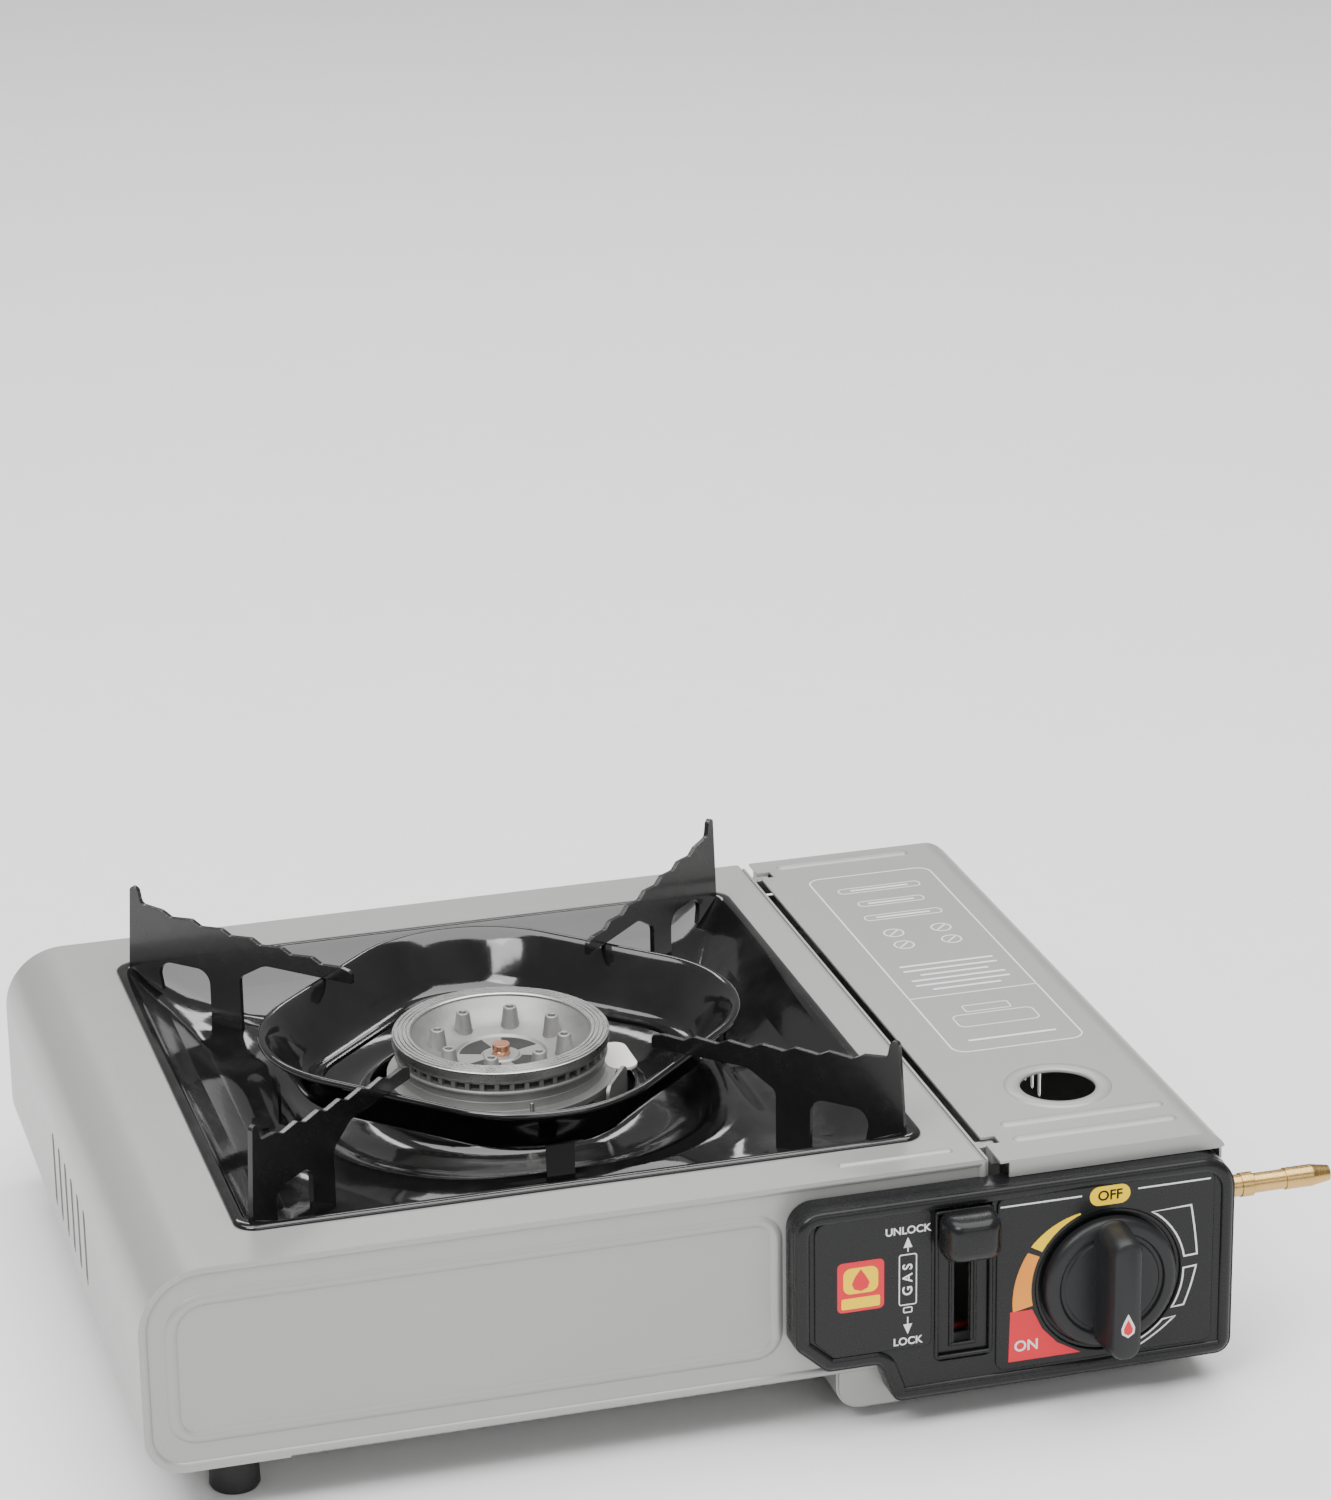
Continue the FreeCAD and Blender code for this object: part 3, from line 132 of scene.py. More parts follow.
# Painted shade: near-black finish that stands in for the shade in the burner cap's sectors and inside its gas
# slots.
BURNER_SHADE = Finish("painted_burner_shade", "cast_aluminium", (0.010, 0.010, 0.010), (0.03, 0.029, 0.028), (0.6, 0.8),
              grain=1500, relief=0.00001, wear=0.0)
STEEL = Finish("zinc_steel", "steel", (0.42, 0.42, 0.41), (0.62, 0.62, 0.61), (0.28, 0.45),
               metallic=1.0, grain=1500, relief=0.00001, edge=0.0003, wear=0.15, stretch=(1.0, 6.0, 1.0))
CERAMIC = Finish("ceramic", "ceramic", (0.74, 0.73, 0.69), (0.86, 0.85, 0.81), (0.2, 0.3),
                 coat=0.5, grain=1800, relief=0.00001, edge=0.0005, wear=0.1)
CABLE = Finish("cable", "cable", (0.32, 0.03, 0.03), (0.45, 0.05, 0.04), (0.4, 0.55),
               grain=2500, relief=0.00001, wear=0.1)
RUBBER = Finish("rubber", "rubber", (0.010, 0.010, 0.010), (0.028, 0.028, 0.028), (0.6, 0.8),
                grain=2600, relief=0.00003, edge=0.0008, wear=0.2)
INK_WHITE = Finish("ink_white", "black_plastic", (0.66, 0.66, 0.65), (0.80, 0.80, 0.79), (0.42, 0.5),
                   grain=3500, relief=0.000003, wear=0.05)
INK_GREY = Finish("ink_grey", "silver_paint", (0.70, 0.71, 0.70), (0.84, 0.85, 0.84), (0.4, 0.5),
                  grain=3500, relief=0.000003, wear=0.05)
INK_BLACK = Finish("ink_black", "black_plastic", (0.004, 0.004, 0.004), (0.008, 0.008, 0.008), (0.5, 0.6),
                   grain=3500, relief=0.000003, wear=0.0, specular=0.2)
INK_YELLOW = Finish("ink_yellow", "black_plastic", (0.92, 0.60, 0.0), (0.98, 0.66, 0.0), (0.45, 0.55),
                    grain=3500, relief=0.000003, wear=0.0, specular=0.2)
INK_ORANGE = Finish("ink_orange", "black_plastic", (0.80, 0.27, 0.03), (0.88, 0.33, 0.05), (0.45, 0.55),
                    grain=3500, relief=0.000003, wear=0.0, specular=0.2)
INK_RED = Finish("ink_red", "black_plastic", (0.62, 0.02, 0.035), (0.72, 0.035, 0.05), (0.45, 0.55),
                 grain=3500, relief=0.000003, wear=0.0, specular=0.2)
FLOOR_FINISH = Finish("pale_floor", "", (0.86, 0.86, 0.86), (0.90, 0.90, 0.90), (0.5, 0.6),
                      grain=60, relief=0.00001, wear=0.0)


class Materials:
    """Builds each finish once, from shared node groups."""

    def __init__(self) -> None:
        """Makes the shared groups."""
        self.grain = self._grain_group()
        self.dust = self._dust_group()
        self.made: dict[str, bpy.types.Material] = {}

    @staticmethod
    def _sockets(group: bpy.types.NodeTree, inputs: list[tuple[str, str]],
                 outputs: list[tuple[str, str]]) -> None:
        """Declares a group's sockets.

        Args:
            group: The node group.
            inputs: Name and socket type of each input.
            outputs: Name and socket type of each output.
        """
        for name, kind in inputs:
            group.interface.new_socket(name=name, in_out="INPUT", socket_type=kind)
        for name, kind in outputs:
            group.interface.new_socket(name=name, in_out="OUTPUT", socket_type=kind)

    def _grain_group(self) -> bpy.types.NodeTree:
        """Fine grain and slow drift.

        Returns:
            The group, with a drift mask, a roughness mask and a height.
        """
        group = bpy.data.node_groups.new("surface_grain", "ShaderNodeTree")
        self._sockets(group, [("Vector", "NodeSocketVector"), ("Scale", "NodeSocketFloat")],
                      [("Drift", "NodeSocketFloat"), ("Rough", "NodeSocketFloat"),
                       ("Height", "NodeSocketFloat")])
        nodes, links = group.nodes, group.links
        enter = nodes.new("NodeGroupInput")
        leave = nodes.new("NodeGroupOutput")
        fine = nodes.new("ShaderNodeTexNoise")
        fine.inputs["Detail"].default_value = 6.0
        slow = nodes.new("ShaderNodeTexNoise")
        slow.inputs["Scale"].default_value = 14.0
        slow.inputs["Detail"].default_value = 3.0
        middle = nodes.new("ShaderNodeTexNoise")
        middle.inputs["Scale"].default_value = 120.0
        middle.inputs["Detail"].default_value = 4.0
        for texture in (fine, slow, middle):
            links.new(enter.outputs["Vector"], texture.inputs["Vector"])
        links.new(enter.outputs["Scale"], fine.inputs["Scale"])
        mix = nodes.new("ShaderNodeMix")
        mix.inputs[0].default_value = 0.4
        links.new(slow.outputs["Fac"], mix.inputs[2])
        links.new(fine.outputs["Fac"], mix.inputs[3])
        blend = nodes.new("ShaderNodeMix")
        blend.inputs[0].default_value = 0.5
        links.new(middle.outputs["Fac"], blend.inputs[2])
        links.new(fine.outputs["Fac"], blend.inputs[3])
        links.new(mix.outputs[0], leave.inputs["Drift"])
        links.new(blend.outputs[0], leave.inputs["Rough"])
        links.new(fine.outputs["Fac"], leave.inputs["Height"])
        return group

    def _dust_group(self) -> bpy.types.NodeTree:
        """Light dust on faces that look up, in patches.

        Returns:
            The group, with one mask output.
        """
        group = bpy.data.node_groups.new("handling_dust", "ShaderNodeTree")
        self._sockets(group, [("Vector", "NodeSocketVector"), ("Amount", "NodeSocketFloat")],
                      [("Mask", "NodeSocketFloat")])
        nodes, links = group.nodes, group.links
        enter = nodes.new("NodeGroupInput")
        leave = nodes.new("NodeGroupOutput")
        patches = nodes.new("ShaderNodeTexNoise")
        patches.inputs["Scale"].default_value = 38.0
        patches.inputs["Detail"].default_value = 8.0
        links.new(enter.outputs["Vector"], patches.inputs["Vector"])
        spread = nodes.new("ShaderNodeMapRange")
        spread.inputs["From Min"].default_value = 0.45
        spread.inputs["From Max"].default_value = 0.75
        links.new(patches.outputs["Fac"], spread.inputs["Value"])
        facing = nodes.new("ShaderNodeNewGeometry")
        split = nodes.new("ShaderNodeSeparateXYZ")
        links.new(facing.outputs["Normal"], split.inputs["Vector"])
        up = nodes.new("ShaderNodeMapRange")
        up.inputs["From Min"].default_value = 0.2
        up.inputs["From Max"].default_value = 1.0
        links.new(split.outputs["Z"], up.inputs["Value"])
        both = nodes.new("ShaderNodeMath")
        both.operation = "MULTIPLY"
        links.new(spread.outputs["Result"], both.inputs[0])
        links.new(up.outputs["Result"], both.inputs[1])
        scaled = nodes.new("ShaderNodeMath")
        scaled.operation = "MULTIPLY"
        links.new(both.outputs[0], scaled.inputs[0])
        links.new(enter.outputs["Amount"], scaled.inputs[1])
        links.new(scaled.outputs[0], leave.inputs["Mask"])
        return group

    def get(self, finish: Finish) -> bpy.types.Material:
        """The material of a finish, made on first use.

        Args:
            finish: Which finish.

        Returns:
            The material.
        """
        if finish.name in self.made:
            return self.made[finish.name]
        material = bpy.data.materials.new(finish.name)
        material.use_nodes = True
        nodes, links = material.node_tree.nodes, material.node_tree.links
        shader = nodes["Principled BSDF"]
        shader.inputs["Metallic"].default_value = finish.metallic
        shader.inputs["Specular IOR Level"].default_value = finish.specular
        shader.inputs["Coat Weight"].default_value = finish.coat
        shader.inputs["Coat Roughness"].default_value = finish.rough[0] * 0.6
        place = nodes.new("ShaderNodeTexCoord")
        mapping = nodes.new("ShaderNodeMapping")
        mapping.inputs["Scale"].default_value = finish.stretch
        links.new(place.outputs["Object"], mapping.inputs["Vector"])
        grain = nodes.new("ShaderNodeGroup")
        grain.node_tree = self.grain
        grain.inputs["Scale"].default_value = finish.grain
        links.new(mapping.outputs["Vector"], grain.inputs["Vector"])
        colour = nodes.new("ShaderNodeMix")
        colour.data_type = "RGBA"
        colour.inputs[6].default_value = (*finish.dark, 1.0)
        colour.inputs[7].default_value = (*finish.light, 1.0)
        links.new(grain.outputs["Drift"], colour.inputs[0])
        dust = nodes.new("ShaderNodeGroup")
        dust.node_tree = self.dust
        dust.inputs["Amount"].default_value = finish.wear * 0.35
        links.new(place.outputs["Object"], dust.inputs["Vector"])
        dusted = nodes.new("ShaderNodeMix")
        dusted.data_type = "RGBA"
        dusted.inputs[7].default_value = (0.42, 0.41, 0.39, 1.0)
        links.new(dust.outputs["Mask"], dusted.inputs[0])
        links.new(colour.outputs[2], dusted.inputs[6])
        links.new(dusted.outputs[2], shader.inputs["Base Color"])
        rough = nodes.new("ShaderNodeMapRange")
        rough.inputs["From Min"].default_value = 0.3
        rough.inputs["From Max"].default_value = 0.7
        rough.inputs["To Min"].default_value = finish.rough[0]
        rough.inputs["To Max"].default_value = finish.rough[1]
        links.new(grain.outputs["Rough"], rough.inputs["Value"])
        links.new(rough.outputs["Result"], shader.inputs["Roughness"])
        bump = nodes.new("ShaderNodeBump")
        bump.inputs["Distance"].default_value = finish.relief
        bump.inputs["Strength"].default_value = 0.8
        links.new(grain.outputs["Height"], bump.inputs["Height"])
        if finish.edge > 0:
            soft = nodes.new("ShaderNodeBevel")
            soft.samples = 4
            soft.inputs["Radius"].default_value = finish.edge
            links.new(soft.outputs["Normal"], bump.inputs["Normal"])
        links.new(bump.outputs["Normal"], shader.inputs["Normal"])
        self.made[finish.name] = material
        return material


# ------------------------------------------------------------------ outlines
def outline(corners: list[Corner], arc: int = 8, run: int = 3) -> list[Point2]:
    """Rounded polygon with the same count of points at every corner and side.

    Args:
        corners: (a, b, radius) of each corner, anticlockwise.
        arc: Points on each rounded corner.
        run: Extra points along each side.

    Returns:
        The points, in order.
    """
    count = len(corners)
    arcs = []
    for i, (a, b, radius) in enumerate(corners):
        here = Vector((a, b))
        before = (Vector(corners[i - 1][:2]) - here).normalized()
        after = (Vector(corners[(i + 1) % count][:2]) - here).normalized()
        radius = max(radius, 0.04 * MM)
        half = math.acos(max(-1.0, min(1.0, before.dot(after)))) / 2
        reach = radius / math.tan(half)
        middle = here + (before + after).normalized() * (radius / math.sin(half))
        start = here + before * reach - middle
        end = here + after * reach - middle
        sweep = math.atan2(start.x * end.y - start.y * end.x, start.dot(end))
        turned = []
        for k in range(arc):
            angle = sweep * k / (arc - 1)
            turned.append(middle + Vector((start.x * math.cos(angle) - start.y * math.sin(angle),
                                           start.x * math.sin(angle) + start.y * math.cos(angle))))
        arcs.append(turned)
    points = []
    for i, turned in enumerate(arcs):
        points += turned
        following = arcs[(i + 1) % count][0]
        for k in range(1, run + 1):
            points.append(turned[-1].lerp(following, k / (run + 1)))
    return [(p.x, p.y) for p in points]


def inset(corners: list[Corner], distance: float) -> list[Corner]:
    """Anticlockwise outline moved inwards.

    Args:
        corners: The outline.
        distance: How far, negative for outwards.

    Returns:
        The moved corners, with matching radii.
    """
    moved = []
    count = len(corners)
    for i, (a, b, radius) in enumerate(corners):
        here = Vector((a, b))
        first = (here - Vector(corners[i - 1][:2])).normalized()
        second = (Vector(corners[(i + 1) % count][:2]) - here).normalized()
        turn = first.x * second.y - first.y * second.x
        n1 = Vector((-first.y, first.x))
        n2 = Vector((-second.y, second.x))
        spot = here + (n1 + n2) * (distance / (1 + n1.dot(n2)))
        moved.append((spot.x, spot.y, max(radius - math.copysign(distance, turn * distance), 0.05 * MM)
                      if distance > 0 else max(radius + (abs(distance) if turn > 0 else -abs(distance)),
                                               0.05 * MM)))
    return moved


def rectangle(a0: float, a1: float, b0: float, b1: float, radius: float) -> list[Corner]:
    """Rounded rectangle, anticlockwise.

    Args:
        a0: Low first coordinate.
        a1: High first coordinate.
        b0: Low second coordinate.
        b1: High second coordinate.
        radius: Corner radius.

    Returns:
        Four corners.
    """
    return [(a0, b0, radius), (a1, b0, radius), (a1, b1, radius), (a0, b1, radius)]


def arc_band(centre: Point2, inner: float, outer: float, start: float, end: float,
             steps: int = 14) -> list[Point2]:
    """Outline of a piece of a ring.

    Args:
        centre: Middle of the ring.
        inner: Inner radius.
        outer: Outer radius.
        start: First angle in degrees.
        end: Last angle in degrees, above start.
        steps: Points on each arc.

    Returns:
        The points, anticlockwise.
    """
    angles = [math.radians(start + (end - start) * i / (steps - 1)) for i in range(steps)]
    far = [(centre[0] + outer * math.cos(a), centre[1] + outer * math.sin(a)) for a in angles]
    near = [(centre[0] + inner * math.cos(a), centre[1] + inner * math.sin(a)) for a in reversed(angles)]
    return far + near


def to_circle(points: list[Point2], centre: Point2, radius: float) -> list[Point2]:
    """Moves each point along its ray from a centre onto a circle.

    Args:
        points: The points.
        centre: The circle's centre.
        radius: The circle's radius.

    Returns:
        One point for each given point.
    """
    placed = []
    for a, b in points:
        angle = math.atan2(b - centre[1], a - centre[0])
        placed.append((centre[0] + radius * math.cos(angle), centre[1] + radius * math.sin(angle)))
    return placed


# ------------------------------------------------------------------ modelling
def key_of(spot: Vector) -> tuple[int, int, int]:
    """Grid cell of a point, for matching vertices by place.

    Args:
        spot: The point.

    Returns:
        Its cell, a tenth of a micrometre wide.
    """
    return tuple(round(c * 1e6) for c in spot)


def select_places(piece: bpy.types.Object, spots: list[Vector]) -> None:
    """Selects the vertices at the given places, in edit mode.

    Args:
        piece: The object in edit mode.
        spots: Where the vertices are.
    """
    wanted = {key_of(Vector(s)) for s in spots}
    bpy.ops.mesh.select_all(action="DESELECT")
    mesh = bmesh.from_edit_mesh(piece.data)
    for vertex in mesh.verts:
        vertex.select = key_of(vertex.co) in wanted
    mesh.select_flush(True)
    bmesh.update_edit_mesh(piece.data)


def place_selected(piece: bpy.types.Object, old: list[Vector], new: list[Vector]) -> None:
    """Moves the selected vertices from one ring of places to the next.

    Args:
        piece: The object in edit mode.
        old: Where each vertex is.
        new: Where it goes.
    """
    target = {key_of(Vector(a)): b for a, b in zip(old, new)}
    mesh = bmesh.from_edit_mesh(piece.data)
    for vertex in mesh.verts:
        if vertex.select:
            vertex.co = target[key_of(vertex.co)]
    bmesh.update_edit_mesh(piece.data)


def finish_piece(piece: bpy.types.Object, name: str, finish: Finish, body: Body,
                 angle: float) -> bpy.types.Object:
    """Names, smooths, paints and mounts a new piece.

    Args:
        piece: The object, in object mode.
        name: Its name.
        finish: Its finish.
        body: The body it rides on.
        angle: Edges sharper than this stay sharp, in degrees.

    Returns:
        The piece.
    """
    piece.name = name
    bpy.ops.object.shade_smooth_by_angle(angle=math.radians(angle))
    bpy.ops.object.transform_apply(location=True, rotation=True, scale=True)
    piece.data.materials.clear()
    piece.data.materials.append(PAINT.get(finish))
    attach(piece, body.value)
    log.info("%s: %d faces", name, len(piece.data.polygons))
    return piece


def loft(name: str, rings: list[list[Vector]], finish: Finish, body: Body, caps: str = "",
         closed: bool = False,
         angle: float = 35.0, tweak: Optional[Callable[[bpy.types.Object], None]] = None) -> bpy.types.Object:
    """Skin through rings of points, by extruding a circle ring by ring.

    Args:
        name: Piece name.
        rings: Rings of equal length.
        finish: Finish.
        body: Body it rides on.
        caps: "first", "last" or "both" to fill the end rings.
        closed: Whether the last ring joins the first.
        angle: Smoothing angle in degrees.
        tweak: Further edit-mode work, before normals are recalculated.

    Returns:
        The piece.
    """
    bpy.ops.object.select_all(action="DESELECT")
    bpy.ops.mesh.primitive_circle_add(vertices=len(rings[0]), radius=1.0, fill_type="NOTHING")
    piece = bpy.context.object
    bpy.ops.object.mode_set(mode="EDIT")
    mesh = bmesh.from_edit_mesh(piece.data)
    mesh.verts.ensure_lookup_table()
    for vertex, spot in zip(mesh.verts, rings[0]):
        vertex.co = spot
    bmesh.update_edit_mesh(piece.data)
    bpy.ops.mesh.select_all(action="SELECT")
    for before, after in zip(rings, rings[1:] + ([rings[0]] if closed else [])):
        bpy.ops.mesh.extrude_region_move()
        place_selected(piece, before, after)
    if caps in ("last", "both"):
        bpy.ops.mesh.edge_face_add()
    if caps in ("first", "both"):
        select_places(piece, rings[0])
        bpy.ops.mesh.edge_face_add()
    bpy.ops.mesh.select_all(action="SELECT")
    bpy.ops.mesh.remove_doubles(threshold=1e-6)
    if tweak:
        tweak(piece)
    bpy.ops.mesh.select_all(action="SELECT")
    bpy.ops.mesh.normals_make_consistent(inside=False)
    bpy.ops.object.mode_set(mode="OBJECT")
    return finish_piece(piece, name, finish, body, angle)


def front(y: float) -> Placer:
    """Places (x, z) on an upright plane.

    Args:
        y: Depth of the plane.

    Returns:
        The placer.
    """
    return lambda a, b: Vector((a, y, b))


def level(z: float) -> Placer:
    """Places (x, y) on a level plane.

    Args:
        z: Height of the plane.

    Returns:
        The placer.
    """
    return lambda a, b: Vector((a, b, z))


def ring(points: list[Point2], place: Placer) -> list[Vector]:
    """A 2-D outline placed in space.

    Args:
        points: The outline.
        place: Where its plane is.

    Returns:
        The placed points.
    """
    return [place(a, b) for a, b in points]


def plate(name: str, points: list[Point2], back: Placer, face: Placer, finish: Finish,
          body: Body) -> bpy.types.Object:
    """Thin solid of an outline between two planes.

    Args:
        name: Piece name.
        points: The outline.
        back: Its back plane.
        face: Its front plane.
        finish: Finish.
        body: Body it rides on.

    Returns:
        The piece.
    """
    return loft(name, [ring(points, back), ring(points, face)], finish, body, caps="both", angle=30)


def lathe(name: str, profile: list[Point2], centre: Vector, axis: Vector, finish: Finish, body: Body,
          steps: int = 72, angle: float = 35.0) -> bpy.types.Object:
    """Turned piece: a ring is extruded along a profile of (radius, height).

    Args:
        name: Piece name.
        profile: Radius and distance along the axis of each ring.
        centre: Start of the axis.
        axis: Its direction.
        finish: Finish.
        body: Body it rides on.
        steps: Points on each ring.
        angle: Smoothing angle in degrees.

    Returns:
        The piece.
    """
    turn = Vector((0, 0, 1)).rotation_difference(axis)
    rings = []
    for radius, height in profile:
        radius = max(radius, 0.02 * MM)
        spots = []
        for i in range(steps):
            a = 2 * math.pi * i / steps
            spots.append(centre + turn @ Vector((radius * math.cos(a), radius * math.sin(a), height)))
        rings.append(spots)
    return loft(name, rings, finish, body, closed=True, angle=angle)


def frame_line(name: str, corners: list[Corner], width: float, back: Callable[[float], Placer], low: float,
               high: float, finish: Finish, body: Body) -> bpy.types.Object:
    """Printed or raised line round an outline.

    Args:
        name: Piece name.
        corners: Outer outline.
        width: Line width.
        back: Makes a placer for a plane.
        low: Plane of its back.
        high: Plane of its face.
        finish: Finish.
        body: Body it rides on.

    Returns:
        The piece.
    """
    outer = outline(corners)
    inner = outline(inset(corners, width))
    rings = [ring(outer, back(low)), ring(outer, back(high)), ring(inner, back(high)), ring(inner, back(low))]
    return loft(name, rings, finish, body, closed=True, angle=30)


def bead(name: str, corners: list[Corner], width: float, place: Callable[[float], Placer], base: float,
         rise: float,
         finish: Finish, body: Body) -> bpy.types.Object:
    """Pressed bead that follows an outline, rounded across.

    Args:
        name: Piece name.
        corners: Outer outline.
        width: Width of the bead.
        place: Makes a placer for a plane.
        base: Plane the bead stands on.
        rise: Its height, signed.
        finish: Finish.
        body: Body it rides on.

    Returns:
        The piece.
    """
    rings = []
    for i in range(9):
        t = i / 8
        height = base + rise * (math.sin(math.pi * t) ** 0.8 - 0.15)
        rings.append(ring(outline(inset(corners, width * t + 0.0001 * MM)), place(height)))
    return loft(name, rings, finish, body, closed=True, angle=60)


def words(name: str, text: str, centre: Vector, size: float, turn: tuple[float, float, float],
          finish: Finish, body: Body) -> bpy.types.Object:
    """Raised print of a plain control word.

    Args:
        name: Piece name.
        text: The word.
        centre: Its middle.
        size: Letter size.
        turn: Its rotation in radians.
        finish: Finish.
        body: Body it rides on.

    Returns:
        The piece.
    """
    bpy.ops.object.select_all(action="DESELECT")
    bpy.ops.object.text_add(location=centre, rotation=turn)
    piece = bpy.context.object
    piece.data.body = text
    piece.data.size = size
    piece.data.extrude = 0.04 * MM
    piece.data.offset = size * 0.018
    piece.data.align_x = "CENTER"
    piece.data.align_y = "CENTER"
    bpy.ops.object.convert(target="MESH")
    bpy.ops.object.mode_set(mode="EDIT")
    bpy.ops.mesh.select_all(action="SELECT")
    bpy.ops.mesh.remove_doubles(threshold=1e-6)
    bpy.ops.mesh.normals_make_consistent(inside=False)
    bpy.ops.object.mode_set(mode="OBJECT")
    return finish_piece(piece, name, finish, body, 30)


# ------------------------------------------------------------------ sub-assemblies
class TrayGroup:
    """Drip tray and wind ring."""

    @dataclass
    class Sizes:
        """Sizes of the pressed shapes, in metres."""

        boss_at: float = 104 * MM
        boss_r: float = 11 * MM
        boss_h: float = 2.6 * MM
        ring_half: float = 66 * MM
        ring_corner: float = 43 * MM

    def __init__(self) -> None:
        """Reads the tray's place from the frame."""
        self.size = self.Sizes()
        low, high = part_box("drip_tray")
        self.centre = (low + high) / 2
        self.half = (high.x - low.x) / 2
        self.top = high.z
        self.floor = low.z + 0.8 * MM

    def _square(self, half: float, radius: float) -> list[Point2]:
        """Rounded square round the burner.

        Args:
            half: Half its width.
            radius: Corner radius.

        Returns:
            Its points.
        """
        x, y = self.centre.x, self.centre.y
        return outline(rectangle(x - half, x + half, y - half, y + half, min(radius, half * 0.98)), arc=14,
                       run=13)

    def _height(self, x: float, y: float, z: float) -> float:
        """Height of the pressed floor, with a boss under each inner leg.

        Args:
            x: Place across.
            y: Place in depth.
            z: Height without bosses.

        Returns:
            The height.
        """
        dx, dy = abs(x - self.centre.x), abs(y - self.centre.y)
        spot = self.size.boss_at / math.sqrt(2)
        away = math.hypot(dx - spot, dy - spot) / self.size.boss_r
        return z + (self.size.boss_h * math.exp(-(away ** 4)) if away < 2.5 and z < self.floor + 6 * MM else 0.0)

    def tray(self) -> None:
        """Pressed tray: rolled rim, leaning walls, a swept inner ridge and a collar."""
        top, floor, half = self.top, self.floor, self.half
        steps = [
            (half, top - 0.8 * MM, 7), (half, top - 0.2 * MM, 7), (half - 0.5 * MM, top + 0.3 * MM, 7),
            (half - 2.2 * MM, top + 0.5 * MM, 7), (half - 3.6 * MM, top + 0.1 * MM, 7),
            (half - 4.6 * MM, top - 1.2 * MM, 8), (half - 8 * MM, top - 4.2 * MM, 10),
            (half - 14 * MM, top - 9.0 * MM, 14), (half - 19 * MM, top - 12.8 * MM, 18),
            (half - 22 * MM, floor + 1.6 * MM, 22), (half - 25 * MM, floor + 0.5 * MM, 26),
            (half - 28 * MM, floor, 32), (half - 31 * MM, floor + 0.3 * MM, 40),
            (half - 33 * MM, floor + 1.6 * MM, 46), (half - 35 * MM, floor + 3.2 * MM, 50),
            (half - 37.5 * MM, floor + 4.0 * MM, 54), (half - 40.5 * MM, floor + 3.4 * MM, 56),
            (half - 44 * MM, floor + 1.2 * MM, 58), (half - 48 * MM, floor + 0.2 * MM, 58),
        ]
        rings = []
        for reach, z, radius in steps:
            flat = self._square(reach, radius * MM)
            rings.append([Vector((a, b, self._height(a, b, z))) for a, b in flat])
        base = self._square(half - 50 * MM, 57 * MM)
        centre = (self.centre.x, self.centre.y)
        for radius, z in ((52, 0.0), (48, 0.2), (45.4, 1.2), (44.4, 3.0), (43.9, 4.2), (43.4, 4.4),
                          (43.0, 4.0), (43.0, -0.8)):
            rings.append(ring(to_circle(base, centre, radius * MM), level(floor + z * MM)))
        for z_off, reach in ((-0.8, 55), (-0.8, 82)):
            rings.append(ring(self._square(reach * MM, (reach - 8) * MM if reach < 60 else 20 * MM),
                              level(floor + z_off * MM)))
        rings.append(ring(self._square(half - 5.5 * MM, 8 * MM), level(top - 2.6 * MM)))
        rings.append(ring(self._square(half - 3.8 * MM, 7 * MM), level(top - 0.9 * MM)))
        piece = loft("tray_pressing", rings, ENAMEL, Body.TRAY, closed=True, angle=70)
        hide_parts("drip_tray")

    def wind_ring(self) -> None:
        """Wind ring: ledge, leaning wall and a rolled top edge."""
        low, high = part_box("wind_ring")
        profile = [
            (-17.0, -4.2), (-16.2, -4.9), (-14.0, -5.0), (-11.5, -4.6), (-9.8, -3.2), (-8.4, -0.6),
            (-4.2, 6.6),
            (-2.2, 9.6), (-0.6, 11.4), (0.6, 12.5), (1.7, 13.0), (2.7, 12.6), (3.1, 11.7), (2.7, 10.9),
            (1.6, 10.9),
            (0.3, 10.4), (-1.2, 8.8), (-3.2, 5.8), (-7.4, -1.4), (-8.8, -4.0), (-10.8, -5.7), (-13.8, -6.2),
            (-16.6, -6.0), (-17.4, -5.2),
        ]
        corner = self.size.ring_half * math.sqrt(2)
        x, y = self.centre.x, self.centre.y
        base = [(x, y - corner, self.size.ring_corner), (x + corner, y, self.size.ring_corner),
                (x, y + corner, self.size.ring_corner), (x - corner, y, self.size.ring_corner)]
        rings = []
        for out, up in profile:
            corners = inset(base, -out * MM) if abs(out) > 1e-9 else base
            rings.append(ring(outline(corners, arc=18, run=9), level(low.z + up * MM)))
        piece = loft("ring_pressing", rings, ENAMEL, Body.TRAY, closed=True, angle=70)
        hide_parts("wind_ring")

    def build(self) -> None:
        """Makes the group."""
        self.tray()
        self.wind_ring()


